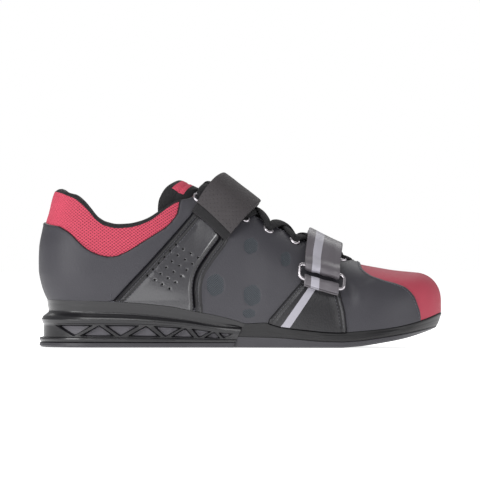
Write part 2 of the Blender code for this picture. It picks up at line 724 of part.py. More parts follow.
def make_sole():
    """Heel unit and its outsole, forefoot midsole and outsole, and the insole."""
    joint = SOLE_JOINT * LAST_LENGTH - HEEL_CENTRE
    unit_base = lambda a: OUTSOLE_THICKNESS + GAP + 0 * a
    levels = [
        (unit_base, flare(CHORD_FLARE - 0.0008, 0)),
        (lambda a: heel_level("truss_bottom", a), flare(CHORD_FLARE, 0)),
        (lambda a: heel_level("truss_bottom", a) + 0.0012, flare(HEEL_FLARE - 0.0006, 0)),
        (lambda a: heel_level("truss_top", a), flare(HEEL_FLARE - 0.0012, 0)),
        (lambda a: heel_level("flange", a), flare(HEEL_FLARE, 0)),
        (lambda a: heel_level("step", a), flare(RIM_LEDGE * 0.6, 0)),
        (rim_height, ledge),
    ]
    heel = make_object("heel_unit", cut_flat(sole_body(levels), joint, True), "moulded_heel")
    cut_windows(heel)
    low, high = (lambda a: 0 * a), (lambda a: OUTSOLE_THICKNESS + 0 * a)
    mid = lambda a: 0.4 * OUTSOLE_THICKNESS + 0 * a
    chord = flare(CHORD_FLARE, 0)
    levels = [(low, flare(CHORD_FLARE - 0.0010, 0)), (mid, chord), (high, flare(CHORD_FLARE - 0.0006, 0))]
    outsole = make_object("outsole_heel", cut_flat(sole_body(levels), joint, True), "rubber")
    cut_grooves(outsole, -HEEL_CENTRE, joint)
    start = joint + 0.0008
    levels = [
        (lambda a: band_height(a) + GAP, flare(FOREFOOT_FLARE - 0.0006, TOE_UNDERCUT * 0.35)),
        (lambda a: (band_height(a) + rim_height(a)) / 2, flare(FOREFOOT_FLARE - 0.0008, TOE_UNDERCUT * 0.12)),
        (rim_height, ledge),
    ]
    make_object("midsole_forefoot", cut_flat(sole_body(levels), start, False), "moulded_heel")
    levels = [
        (floor_height, flare(FOREFOOT_FLARE - 0.0012, TOE_UNDERCUT * 1.1)),
        (lambda a: floor_height(a) + 0.3 * OUTSOLE_THICKNESS, flare(FOREFOOT_FLARE, TOE_UNDERCUT * 0.8)),
        (band_height, flare(FOREFOOT_FLARE, TOE_UNDERCUT * 0.35)),
    ]
    outsole = make_object("outsole_forefoot", cut_flat(sole_body(levels), start, False), "rubber")
    cut_grooves(outsole, start, 0.93 * LAST_LENGTH - HEEL_CENTRE)
    inset = -(UPPER_WALL + INSOLE_CLEARANCE)
    levels = [
        (lambda a: rim_height(a) + GAP, lambda a: inset + 0 * a),
        (lambda a: rim_height(a) + GAP + INSOLE_THICKNESS, lambda a: inset - 0.0004 + 0 * a),
    ]
    make_object("insole", sole_body(levels), "foam")


def girth_of_arc(along, arc):
    """Girth at a distance walked over the skin from the ridge, negative to the outer side."""
    along, arc = np.broadcast_arrays(np.asarray(along, float), np.asarray(arc, float))
    turns = np.linspace(0, 2, 161)
    flat = np.zeros(along.size)
    for i, (place, walk) in enumerate(zip(along.ravel(), arc.ravel())):
        points = skin(stretch_of(np.full(turns.shape, place)), turns)
        steps = np.linalg.norm(np.diff(points[:, 1:], axis=0), axis=1)
        walked = np.concatenate([[0], np.cumsum(steps)])
        walked -= np.interp(1.0, turns, walked)
        flat[i] = np.interp(walk, walked, turns)
    return flat.reshape(along.shape)


def on_upper(along, arc, lift):
    """Point above the upper at a share of the length, an arc from the ridge and a lift."""
    return lifted(stretch_of(along), girth_of_arc(along, arc), lift)


def strap_line(place, slant, run):
    """Centre of a strap: it crosses the ridge at a place and leans back towards the sole."""
    soft = 0.010
    back = slant * (np.sqrt(run**2 + soft**2) - soft)
    return place - back / LAST_LENGTH, run


def strap_point(place, slant, run, across, lift):
    """Point of a strap from the run over the foot, the distance across it and its lift."""
    step = 0.0005
    along, arc = strap_line(place, slant, run)
    before, after = strap_line(place, slant, run - step), strap_line(place, slant, run + step)
    dx, da = (after[0] - before[0]) * LAST_LENGTH, after[1] - before[1]
    size = np.hypot(dx, da)
    return on_upper(along + across * da / size / LAST_LENGTH, arc - across * dx / size, lift)


def folded_profile(anchor, ring, tail, low, space, tight, facing, steps):
    """Centre line of a strap in run and lift: anchor to ring, round its bar and back to the tail."""
    turns = np.linspace(-np.pi / 2, np.pi / 2, 7)
    radius = space / 2
    first = np.linspace(anchor, ring, steps)
    second = np.linspace(ring, tail, steps)
    bend = ring + facing * radius * np.cos(turns[1:-1])
    rise = radius + radius * np.sin(turns[1:-1])
    run = np.concatenate([first, bend, second])
    fade = np.clip(1 - np.abs(second - ring) / FOLD_REACH, 0, 1)
    extra = np.concatenate([0 * first, rise, tight + (space - tight) * fade * fade * (3 - 2 * fade)])
    return run, low(run) + extra


def ribbon(name, place, slant, width, run, lift, tilt, thickness, finish):
    """Closed strap from a centre line in run and lift. tilt raises its edge nearer the heel."""
    shape = bmesh.new()
    du, dh = np.gradient(run), np.gradient(lift)
    size = np.hypot(du, dh)
    nu, nh = -dh / size, du / size
    columns = np.linspace(-width / 2, width / 2, STRAP_COLUMNS)[None, :]
    sides = []
    for half in (thickness / 2, -thickness / 2):
        u, h = (run + nu * half)[:, None], (lift + nh * half)[:, None]
        h = h + tilt * over_throat(run)[:, None] * (0.5 - columns / width)
        sides.append(add_rows(shape, strap_point(place, slant, u + 0 * columns, columns + 0 * u, h)))
    close_sheet(shape, sides[0], sides[1])
    return make_object(name, shape, finish)


def ring(name, place, slant, centre, width, low, finish):
    """Rectangular wire ring lying on the upper, its long bars along the foot."""
    shape = bmesh.new()
    half_long = width / 2 + RING_SIDE + RING_BAR / 2
    half_high = (RING_HEIGHT - RING_BAR) / 2
    corner = RING_BAR
    path = []
    for cx, cu, start in ((1, 1, 0), (-1, 1, 1), (-1, -1, 2), (1, -1, 3)):
        for k in range(4):
            turn = (start + k / 3) * math.pi / 2
            across = cx * (half_long - corner) + corner * math.cos(turn)
            run = cu * (half_high - corner) + corner * math.sin(turn)
            path.append((across, run, math.cos(turn), math.sin(turn)))
        if start in (0, 2):
            for k in range(1, 5):
                across = cx * (half_long - corner) * (1 - 2 * k / 5)
                path.append((across, cu * half_high, 0.0, float(cu)))
    path = np.array(path)
    rows = []
    for j in range(6):
        turn = j * math.pi / 3
        out = RING_BAR / 2 * math.cos(turn)
        across = path[:, 0] + path[:, 2] * out
        run = centre + path[:, 1] + path[:, 3] * out
        height = low(run) + RING_BAR / 2 * math.sin(turn)
        rows.append(add_rows(shape, [strap_point(place, slant, run, across, height)])[0])
    rows.append(rows[0])
    quads(shape, rows, closed=True)
    return make_object(name, shape, finish)


def over_throat(run):
    """1 where a strap spans the laces, falling to 0 beside them."""
    t = np.clip(1.6 - np.abs(run) / LACE_REACH, 0, 1)
    return t * t * (3 - 2 * t)


def make_strap(name, place, slant, width, anchor, ring_at, tail, throat_lift, skin_lift, tilt):
    """Strap, ring and ring tab. ring_at is the run to the middle of the ring."""
    facing = math.copysign(1.0, ring_at)
    space = RING_BAR + STRAP_THICKNESS + 2 * GAP
    bar = (RING_HEIGHT - RING_BAR) / 2
    side_lift = skin_lift + GAP + STRAP_THICKNESS / 2
    tight = STRAP_THICKNESS + GAP
    low = lambda run: side_lift + (throat_lift - side_lift) * over_throat(run)
    near_bar = ring_at - facing * bar
    run, lift = folded_profile(anchor, near_bar, tail, low, space, tight, facing, STRAP_STEPS)
    ribbon(name, place, slant, width, run, lift, tilt, STRAP_THICKNESS, "webbing")
    height = lambda run: low(run) + space / 2
    ring(name + "_ring", place, slant, ring_at, width, height, "steel")
    far_bar = ring_at + facing * bar
    end = far_bar + facing * TAB_LENGTH
    run, lift = folded_profile(end, far_bar, end, low, space, tight, -facing, TAB_STEPS)
    ribbon(name + "_tab", place, slant, width, run, lift, 0.0, STRAP_THICKNESS, "webbing")


def make_straps():
    """The two opposing straps."""
    skin_lift = GAP + OVERLAY
    laces = skin_lift + EYELET_PROUD + GAP + LACE_CLEARANCE + LACE_THICKNESS + LACE_STAGGER
    laces = laces + GAP + STRAP_THICKNESS / 2 + STRAP_CLEARANCE
    make_strap(
        "front_strap", FRONT_STRAP_PLACE, 0.0, FRONT_STRAP_WIDTH, FRONT_ANCHOR_REACH,
        -FRONT_RING_REACH, FRONT_TAIL_REACH, laces, skin_lift + GAP + OVERLAY, 0.0,
    )
    make_strap(
        "top_strap", TOP_STRAP_PLACE, TOP_STRAP_SLANT, TOP_STRAP_WIDTH, -TOP_ANCHOR_REACH,
        TOP_RING_REACH, -TOP_TAIL_REACH, laces, skin_lift, TOP_STRAP_BOW,
    )


def eyelet_places():
    """Share of the length and arc from the ridge of each eyelet, outer side first."""
    places = []
    for row, along in enumerate(EYELET_ROWS):
        half = float(throat_half(np.array([along]))[0])
        for side in (-1.0, 1.0):
            girth = girth_at_width(np.array([along]), side, half)
            points = skin(stretch_of(np.array([along])), np.linspace(1.0, float(girth[0]), 20))
            arc = float(np.sum(np.linalg.norm(np.diff(points, axis=0), axis=1)))
            places.append((row, along, side * (arc + EYELET_MARGIN)))
    return places


def make_eyelets():
    """Metal rings of the eyelets on the overlays."""
    turns = np.linspace(0, 2 * np.pi, 12, endpoint=False)
    low = GAP + OVERLAY + GAP
    high = low + EYELET_PROUD
    profile = ((EYELET_HOLE, low), (EYELET_RIM, low), (EYELET_RIM - 0.0005, high), (EYELET_HOLE, high))
    for row, along, arc in eyelet_places():
        shape = bmesh.new()
        rows = []
        for radius, lift in profile:
            x = along + radius * np.cos(turns) / LAST_LENGTH
            rows.append(add_rows(shape, [on_upper(x, arc + radius * np.sin(turns), lift)])[0])
        quads(shape, rows + [rows[0]], closed=True)
        side = "outer" if arc < 0 else "inner"
        make_object("eyelet_" + side + "_" + str(row + 1), shape, "steel")


def make_laces():
    """The lace's crossings from the top eyelets to the lowest, joined into one body."""
    places = {(row, arc > 0): (along, arc) for row, along, arc in eyelet_places()}
    low = GAP + OVERLAY + GAP + EYELET_PROUD + LACE_CLEARANCE
    made = []
    for start in (False, True):
        shape = bmesh.new()
        centres = []
        for row in range(len(EYELET_ROWS) - 1):
            side = start if row % 2 == 0 else not start
            here, there = places[(row, side)], places[(row + 1, not side)]
            for k in range(LACE_STEPS):
                t = k / LACE_STEPS
                centres.append([here[i] + (there[i] - here[i]) * t for i in (0, 1)])
        centres.append(list(there))
        centres = np.array(centres) * np.array([LAST_LENGTH, 1.0])
        tangent = np.gradient(centres, axis=0)
        tangent = tangent / np.linalg.norm(tangent, axis=1, keepdims=True)
        across = np.stack([tangent[:, 1], -tangent[:, 0]], axis=1)
        grids = []
        base = low + (LACE_STAGGER if start else 0)
        for lift in (base, base + LACE_THICKNESS):
            grid = []
            for w in (-0.5, 0.5):
                flat = centres + across * w * LACE_WIDTH
                grid.append(on_upper(flat[:, 0] / LAST_LENGTH, flat[:, 1], lift + 0 * flat[:, 1]))
            grids.append(add_rows(shape, grid))
        close_sheet(shape, grids[0], grids[1])
        made.append(make_object("laces" if not start else "lace_cutter", shape, "lace"))
    return boolean(made[0], made[1], "UNION")


def clear_scene():
    """Remove every object, so that the file can be run again."""
    for old in list(bpy.data.objects):
        bpy.data.objects.remove(old)


def main():
    clear_scene()
    make_sole()
    make_upper()
    make_overlays()
    make_tongue()
    make_eyelets()
    make_laces()
    make_straps()


main()
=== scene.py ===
"""Weightlifting shoe: the dressed model over its solids.

The last's surface is one function of the length and the girth, and every panel, strap and seam
is laid on it by its own outline, read in the side view in shares of the shoe's sizes.
"""

import math

import bmesh
import bpy
import numpy as np
from bpy.props import FloatProperty, FloatVectorProperty, PointerProperty
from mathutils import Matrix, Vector
from mathutils.geometry import delaunay_2d_cdt


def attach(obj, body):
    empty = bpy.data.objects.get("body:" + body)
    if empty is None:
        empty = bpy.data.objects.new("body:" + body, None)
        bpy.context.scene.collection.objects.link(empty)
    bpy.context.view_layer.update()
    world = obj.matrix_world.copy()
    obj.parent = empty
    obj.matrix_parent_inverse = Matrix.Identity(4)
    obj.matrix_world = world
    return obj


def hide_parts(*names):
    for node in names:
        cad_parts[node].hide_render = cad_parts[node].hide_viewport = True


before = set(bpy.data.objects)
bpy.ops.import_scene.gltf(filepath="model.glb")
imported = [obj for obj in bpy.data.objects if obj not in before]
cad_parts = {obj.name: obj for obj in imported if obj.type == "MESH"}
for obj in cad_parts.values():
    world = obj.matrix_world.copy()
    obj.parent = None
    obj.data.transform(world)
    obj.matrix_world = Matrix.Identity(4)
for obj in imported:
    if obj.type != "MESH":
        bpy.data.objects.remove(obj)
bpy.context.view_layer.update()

bl_info = {
    "name": "Weightlifting Shoe",
    "version": (1, 0, 0),
    "blender": (4, 5, 0),
    "location": "View3D > Sidebar > Shoe",
    "description": "Dresses the solids of a weightlifting shoe with its panels, knit and straps",
    "category": "Object",
}


# Driving sizes of the last
LAST_LENGTH = 0.291
BALL_WIDTH = 0.098
HEEL_HEIGHT = 0.035
INSTEP_HEIGHT = 0.110
COLLAR_HEIGHT = 0.1165
HEEL_BULGE = 0.0082

# Walls, layers and the clearance between touching pieces
GAP = 0.0003
UPPER_WALL = 0.0022
COLLAR_PADDING = 0.0045
OVERLAY = 0.0012
TONGUE_THICKNESS = 0.0050
TONGUE_RISE = 0.0048
TONGUE_CLEARANCE = 0.0016
TONGUE_CROWN = 0.0016
TONGUE_TOP = 0.328
TONGUE_BACK = 0.046
INSOLE_THICKNESS = 0.0040

# Throat, eyelets and laces
THROAT_HALF = 0.0090
THROAT_TOP = 0.33
THROAT_START = 0.66
THROAT_END = 0.768
EYELET_MARGIN = 0.0100
EYELET_HOLE = 0.0022
EYELET_RIM = 0.0038
EYELET_PROUD = 0.0009
EYELET_ROWS = (0.379, 0.437, 0.495, 0.556, 0.624, 0.690, 0.742)
LACE_WIDTH = 0.0062
LACE_THICKNESS = 0.0020
LACE_STAGGER = 0.0009
LACE_CLEARANCE = 0.0006

# Straps and rings
STRAP_THICKNESS = 0.0018
STRAP_CLEARANCE = 0.0012
FRONT_STRAP_WIDTH = 0.0250
FRONT_STRAP_PLACE = 0.691
FRONT_RING_REACH = 0.0500
FRONT_TAIL_REACH = 0.0300
FRONT_ANCHOR_REACH = 0.0490
TOP_STRAP_WIDTH = 0.0290
TOP_STRAP_PLACE = 0.470
TOP_STRAP_SLANT = 0.60
TOP_STRAP_BOW = 0.0048
TOP_RING_REACH = 0.0430
TOP_TAIL_REACH = 0.0340
TOP_ANCHOR_REACH = 0.0400
RING_BAR = 0.0028
RING_HEIGHT = 0.0135
RING_SIDE = 0.0023
TAB_LENGTH = 0.0043
FOLD_REACH = 0.0100

# Sole
OUTSOLE_THICKNESS = 0.0035
RIM_LEDGE = 0.0018
HEEL_FLARE = 0.0056
CHORD_FLARE = 0.0074
FOREFOOT_FLARE = 0.0040
TOE_UNDERCUT = 0.0090
TOE_SPRING = 0.0115
INSOLE_CLEARANCE = 0.0008
SOLE_JOINT = 0.470
JOINT_SLANT = 0.42
GROOVE_DEPTH = 0.0012
GROOVE_WIDTH = 0.0024
GROOVE_PITCH = 0.0125
GROOVE_MARGIN = 0.0120

# Reach of the laces from the ridge
LACE_REACH = 0.0255


# Sections of the last. "outer" and "inner" are the feather line's two sides and "ridge" the top
# line, as shares of the ball width; "crown" is the closed top as a share of the instep height;
# "rise" and "spread" are the powers of the section's superellipse.
SECTION_COLUMNS = ("along", "outer", "inner", "ridge", "crown", "rise", "spread")
SECTIONS = (
    (0.00, -0.316, 0.316, 0.000, 1.700, 2.2, 2.0),
    (0.06, -0.330, 0.328, 0.000, 1.680, 2.2, 2.0),
    (0.15, -0.347, 0.337, 0.000, 1.600, 2.1, 2.0),
    (0.25, -0.357, 0.330, 0.000, 1.290, 2.0, 2.0),
    (0.33, -0.366, 0.318, 0.000, 1.130, 2.0, 1.9),
    (0.40, -0.378, 0.311, 0.000, 1.070, 2.1, 1.9),
    (0.47, -0.400, 0.320, 0.000, 0.975, 2.2, 1.9),
    (0.56, -0.444, 0.358, 0.005, 0.836, 2.2, 1.9),
    (0.65, -0.487, 0.424, 0.012, 0.717, 2.1, 2.0),
    (0.75, -0.505, 0.485, 0.026, 0.592, 2.1, 2.2),
    (0.79, -0.502, 0.496, 0.034, 0.558, 2.2, 2.2),
    (0.83, -0.492, 0.500, 0.044, 0.537, 2.3, 2.3),
    (0.88, -0.469, 0.500, 0.061, 0.515, 2.5, 2.4),
    (0.94, -0.439, 0.490, 0.082, 0.499, 2.6, 2.5),
    (1.00, -0.408, 0.480, 0.102, 0.482, 2.6, 2.6),
)
HEEL_ROUND = (0.115, 2.1)
TOE_ROUND = (0.800, 2.3)
CROWN_DROP = (0.940, 2.2)
TOE_TIP_CROWN = 0.305

# Height of the sole's rim along the foot, as a share of the heel height
RIM = (
    (0.000, 1.000), (0.163, 0.960), (0.301, 0.866), (0.364, 0.766), (0.434, 0.654),
    (0.478, 0.557), (0.502, 0.500), (0.548, 0.520), (0.587, 0.440), (0.641, 0.377),
    (0.733, 0.315), (0.810, 0.357), (0.880, 0.430), (0.948, 0.571), (1.000, 0.730),
)

# Collar edge seen from the side: along, and height as a share of the collar height
COLLAR = (
    (0.024, 1.000), (0.040, 0.985), (0.066, 0.959), (0.085, 0.922), (0.105, 0.868),
    (0.124, 0.814), (0.144, 0.785), (0.173, 0.770), (0.203, 0.774), (0.232, 0.791),
    (0.255, 0.815), (0.283, 0.859), (0.329, 0.930), (0.358, 0.945), (0.375, 0.985),
    (0.390, 1.060), (0.420, 1.400),
)

# Back seam: height share between rim and collar, and offset outwards in heel bulges
BACK = (
    (0.00, 0.00), (0.069, 0.33), (0.152, 0.60), (0.256, 0.79), (0.346, 0.81), (0.47, 0.77),
    (0.625, 0.50), (0.72, 0.28), (0.77, 0.12), (0.98, -0.46), (1.00, -0.70), (1.40, -2.00),
)
HEEL_OVERHANG = HEEL_BULGE * max(row[1] for row in BACK) + GAP + OVERLAY
HEEL_CENTRE = (LAST_LENGTH - HEEL_OVERHANG) / 2

# Weight of the back seam's offset along the foot
BACK_WEIGHT = ((0.00, 1.00), (0.05, 0.75), (0.12, 0.42), (0.25, 0.20), (0.40, 0.00))

# Seams seen from the side: along, and height as a share of the collar height
SEAM_COUNTER = ((0.160, 0.240), (0.167, 0.300), (0.267, 0.570), (0.370, 0.862), (0.430, 1.060))
SEAM_STRAP_PANEL = (
    (0.371, 0.160), (0.371, 0.240), (0.368, 0.382), (0.377, 0.480), (0.400, 0.573), (0.435, 0.690),
)
COUNTER_EDGE = (
    (-0.060, 0.812), (0.000, 0.793), (0.028, 0.768), (0.055, 0.725), (0.078, 0.668),
    (0.102, 0.619), (0.127, 0.590), (0.154, 0.577), (0.177, 0.585), (0.206, 0.619),
    (0.238, 0.669), (0.266, 0.713), (0.299, 0.768), (0.320, 0.827), (0.326, 0.857), (0.334, 0.960),
)
TOE_EDGE = (
    (0.792, 0.560), (0.796, 0.498), (0.816, 0.455), (0.847, 0.424), (0.883, 0.400), (0.907, 0.375),
    (0.927, 0.325), (0.936, 0.270), (0.943, 0.209), (0.946, 0.080),
)
SEAM_MIDDLE = ((0.700, 0.060), (0.700, 0.900))
ANCHOR_OUTER = (
    (0.550, 0.080), (0.552, 0.158), (0.645, 0.425), (0.737, 0.365), (0.752, 0.230), (0.760, 0.060),
)
ANCHOR_INNER = (
    (0.600, 0.060), (0.612, 0.170), (0.650, 0.440), (0.745, 0.390), (0.755, 0.230), (0.762, 0.060),
)

# Levels of the heel unit as shares of the heel height: the step under the rim, the flange's
# widest line, and the top and bottom of the truss
HEEL_COLUMNS = ("along", "step", "flange", "truss_top", "truss_bottom")
HEEL_LEVELS = (
    (0.00, 0.760, 0.610, 0.490, 0.200),
    (0.19, 0.720, 0.580, 0.485, 0.195),
    (0.34, 0.590, 0.500, 0.430, 0.180),
    (0.43, 0.470, 0.400, 0.330, 0.165),
    (0.52, 0.420, 0.330, 0.255, 0.155),
)

# Weight of the sole's flare along the foot
FLARE = ((0.00, 1.00), (0.25, 0.95), (0.38, 0.70), (0.47, 0.55), (0.55, 0.60), (0.70, 1.00))

# Underside of the forefoot as a share of the toe spring, and its side band in outsole thicknesses
SPRING = ((0.745, 0.00), (0.785, 0.08), (0.858, 0.37), (0.931, 0.68), (1.00, 1.00))
BAND = ((0.47, 2.25), (0.57, 2.10), (0.72, 1.25), (0.85, 1.10), (1.00, 1.05))

# Windows of the heel truss along one side: centre, half width, and 1 for apex up
WINDOWS = (
    (0.068, 0.044, 0), (0.123, 0.044, 1), (0.178, 0.045, 0), (0.237, 0.043, 1), (0.290, 0.037, 0),
    (0.333, 0.031, 1), (0.374, 0.027, 0), (0.407, 0.022, 1), (0.436, 0.020, 0),
)

def curve(rows, place, column=1):
    """Smooth curve without overshoot through a table's rows, read at one place or an array."""
    table = np.array(rows, float)
    xs, ys = table[:, 0], table[:, column]
    steps = np.diff(xs)
    slopes = np.diff(ys) / steps
    before, after = slopes[:-1], slopes[1:]
    same = before * after > 0
    total = np.where(same, before + after, 1.0)
    inner = np.where(same, 2 * before * after / total, 0.0)
    tangents = np.concatenate([slopes[:1], inner, slopes[-1:]])
    place = np.clip(place, xs[0], xs[-1])
    i = np.clip(np.searchsorted(xs, place) - 1, 0, len(xs) - 2)
    t = (place - xs[i]) / steps[i]
    return (
        ys[i] * (2 * t**3 - 3 * t**2 + 1)
        + ys[i + 1] * (3 * t**2 - 2 * t**3)
        + steps[i] * (tangents[i] * (t**3 - 2 * t**2 + t) + tangents[i + 1] * (t**3 - t**2))
    )


def eased(t):
    """Smooth step between 0 and 1."""
    return t * t * (3 - 2 * t)


def section(name, along):
    """One column of the section table at a share of the last's length."""
    return curve(SECTIONS, along, SECTION_COLUMNS.index(name))


def round_end(distance, power):
    """Superellipse factor: 1 while distance is 0 or less, falling to 0 at distance 1."""
    return np.clip(1 - np.clip(distance, 0, 1) ** power, 0, 1) ** (1 / power)


def rim_height(along):
    """Top of the sole's rim, on which the upper stands."""
    return HEEL_HEIGHT * curve(RIM, along)


def crown_height(along):
    """Top line of the closed last."""
    start, power = CROWN_DROP
    tip = INSTEP_HEIGHT * TOE_TIP_CROWN
    drop = round_end((along - start) / (1 - start), power)
    return tip + (INSTEP_HEIGHT * section("crown", along) - tip) * drop


def along_of(stretch):
    """Share of the length for an even walk from heel (0) to toe (1), dense at both ends."""
    return (1 - np.cos(np.pi * stretch)) / 2


def stretch_of(along):
    """The inverse of along_of."""
    return np.arccos(np.clip(1 - 2 * along, -1, 1)) / np.pi


def feather(stretch, side):
    """Plan outline of the upper. side is -1 for the outer and 1 for the inner half."""
    along = along_of(stretch)
    heel_reach, heel_power = HEEL_ROUND
    toe_start, toe_power = TOE_ROUND
    cap = round_end(1 - along / heel_reach, heel_power)
    cap = cap * round_end((along - toe_start) / (1 - toe_start), toe_power)
    ridge = section("ridge", along)
    edge = np.where(side < 0, section("outer", along), section("inner", along))
    across = ridge + (edge - ridge) * cap
    return along * LAST_LENGTH - HEEL_CENTRE, across * BALL_WIDTH


def walk_round(walk):
    """Plan outline as one clockwise walk: -1 is the toe, 0 the heel by way of the outer side."""
    walk = (walk + 1) % 2 - 1
    return feather(np.abs(walk), np.where(walk < 0, -1.0, 1.0))


def plan_normal(stretch, side):
    """Outward direction of the plan outline."""
    step = 0.004
    x0, y0 = walk_round(side * stretch - step)
    x1, y1 = walk_round(side * stretch + step)
    size = np.hypot(x1 - x0, y1 - y0)
    return (y0 - y1) / size, (x1 - x0) / size


def skin(stretch, girth):
    """Point on the closed last. Girth is 0 at the outer feather, 1 on the ridge, 2 at the inner."""
    stretch, girth = np.broadcast_arrays(np.asarray(stretch, float), np.asarray(girth, float))
    turned = (stretch < 0) | (stretch > 1)
    stretch = np.where(stretch < 0, -stretch, np.where(stretch > 1, 2 - stretch, stretch))
    girth = np.where(turned, 2 - girth, girth)
    side = np.where(girth <= 1, -1.0, 1.0)
    angle = np.clip(np.where(girth <= 1, girth, 2 - girth), 0, 1) * np.pi / 2
    along = along_of(stretch)
    rise, spread = section("rise", along), section("spread", along)
    x, y = feather(stretch, side)
    ridge = section("ridge", along) * BALL_WIDTH
    low, high = rim_height(along) + GAP, crown_height(along)
    z = low + (high - low) * np.sin(angle) ** (2 / rise)
    y = ridge + (y - ridge) * np.cos(angle) ** (2 / spread)
    climb = (z - HEEL_HEIGHT) / (COLLAR_HEIGHT - HEEL_HEIGHT)
    offset = HEEL_BULGE * curve(BACK, np.clip(climb, 0, None)) * curve(BACK_WEIGHT, along)
    nx, ny = plan_normal(stretch, side)
    towards_ridge = np.clip(4 * np.cos(angle), 0, 1)
    return np.stack([x + nx * offset, y + ny * offset * towards_ridge, z], axis=-1)


def skin_normal(stretch, girth):
    """Outward normal of the closed last, not yet of unit length."""
    step = 0.006
    low, high = np.clip(girth - step, 0, 2), np.clip(girth + step, 0, 2)
    along_foot = skin(stretch + step, girth) - skin(stretch - step, girth)
    over_foot = skin(stretch, high) - skin(stretch, low)
    return np.cross(along_foot, over_foot)


def lifted(stretch, girth, lift):
    """Point at a height above the closed last, along its own normal. A negative lift is inside."""
    stretch, girth, lift = np.broadcast_arrays(
        np.asarray(stretch, float), np.asarray(girth, float), np.asarray(lift, float)
    )
    normal = skin_normal(stretch, girth)
    size = np.linalg.norm(normal, axis=-1, keepdims=True)
    ridge_end = skin_normal(np.clip(stretch, 0.012, 0.988), girth)
    normal = np.where(size < 1e-9, ridge_end, normal)
    normal = normal / np.linalg.norm(normal, axis=-1, keepdims=True)
    return skin(stretch, girth) + normal * lift[..., None]


def girth_at_height(stretch, side, height):
    """Girth at which the skin reaches a height."""
    along = along_of(stretch)
    low, high = rim_height(along) + GAP, crown_height(along)
    share = np.clip((height - low) / (high - low), 0, 1)
    turn = np.arcsin(share ** (section("rise", along) / 2)) / (np.pi / 2)
    return np.where(side < 0, turn, 2 - turn)


def girth_at_width(along, side, width):
    """Girth at which the skin lies at a distance across from the ridge."""
    _, y = feather(stretch_of(along), side)
    reach = np.abs(y - section("ridge", along) * BALL_WIDTH)
    share = np.clip(width / np.maximum(reach, 1e-6), 0, 1)
    turn = np.arccos(share ** (section("spread", along) / 2)) / (np.pi / 2)
    return np.where(side < 0, turn, 2 - turn)


def throat_half(along):
    """Half width of the throat, rounded off at its toe end."""
    return THROAT_HALF * round_end((along - THROAT_START) / (THROAT_END - THROAT_START), 2)


def open_girth(stretch, side):
    """Girth of the collar and throat edge, or the ridge where the vamp is closed."""
    along = along_of(stretch)
    x = along.copy()
    for _ in range(12):
        girth = girth_at_height(stretch, side, COLLAR_HEIGHT * curve(COLLAR, x))
        x = (skin(stretch, girth)[..., 0] + HEEL_CENTRE) / LAST_LENGTH
    collar = np.where(side < 0, girth, 2 - girth)
    throat = girth_at_width(along, side, throat_half(along))
    throat = np.where(side < 0, throat, 2 - throat)
    is_throat = (along > THROAT_TOP) & (along < THROAT_END)
    throat = np.where(is_throat, throat, 1.0)
    edge = np.minimum(collar, throat)
    return np.where(side < 0, edge, 2 - edge)


def padding(stretch, rises):
    """Depth of the upper's inner face: the wall, and foam towards the collar."""
    along = along_of(stretch)
    up = np.clip((rises - 0.35) / 0.40, 0, 1)
    back = np.clip((THROAT_TOP + 0.02 - along) / 0.10, 0, 1)
    return -(UPPER_WALL + COLLAR_PADDING * eased(up) * eased(back))


def heel_level(name, along):
    """One line of the heel unit's side, in metres above the floor."""
    return HEEL_HEIGHT * curve(HEEL_LEVELS, along, HEEL_COLUMNS.index(name))


def floor_height(along):
    """Underside of the sole: flat, then the toe spring."""
    return TOE_SPRING * curve(SPRING, along)


def band_height(along):
    """Top of the forefoot outsole's side band."""
    return floor_height(along) + OUTSOLE_THICKNESS * curve(BAND, along)


def toe_weight(along):
    """0 behind the toe, rising to 1 at its tip."""
    return eased(np.clip((along - 0.84) / 0.16, 0, 1))


def flare(width, undercut):
    """Outward offset of a sole line: a width, turned into an undercut at the toe."""
    def at(along):
        toe = toe_weight(along)
        return width * curve(FLARE, along) * (1 - toe) - undercut * toe
    return at


def ledge(along):
    """Outward offset of the sole's rim."""
    return RIM_LEDGE * (1 - toe_weight(along))


def strap_line(place, slant, run):
    """Centre of a strap: it crosses the ridge at a place and leans back towards the sole."""
    soft = 0.010
    back = slant * (np.sqrt(run**2 + soft**2) - soft)
    return place - back / LAST_LENGTH, run


def strap_point(place, slant, run, across, lift):
    """Point of a strap from the run over the foot, the distance across it and its lift."""
    step = 0.0005
    along, arc = strap_line(place, slant, run)
    before, after = strap_line(place, slant, run - step), strap_line(place, slant, run + step)
    dx, da = (after[0] - before[0]) * LAST_LENGTH, after[1] - before[1]
    size = np.hypot(dx, da)
    return on_upper(along + across * da / size / LAST_LENGTH, arc - across * dx / size, lift)


def over_throat(run):
    """1 where a strap spans the laces, falling to 0 beside them."""
    return eased(np.clip(1.6 - np.abs(run) / LACE_REACH, 0, 1))


def eyelet_places():
    """Share of the length and arc from the ridge of each eyelet, outer side first."""
    places = []
    for row, along in enumerate(EYELET_ROWS):
        half = float(throat_half(np.array([along]))[0])
        for side in (-1.0, 1.0):
            girth = girth_at_width(np.array([along]), side, half)
            points = skin(stretch_of(np.array([along])), np.linspace(1.0, float(girth[0]), 20))
            arc = float(np.sum(np.linalg.norm(np.diff(points, axis=0), axis=1)))
            places.append((row, along, side * (arc + EYELET_MARGIN)))
    return places


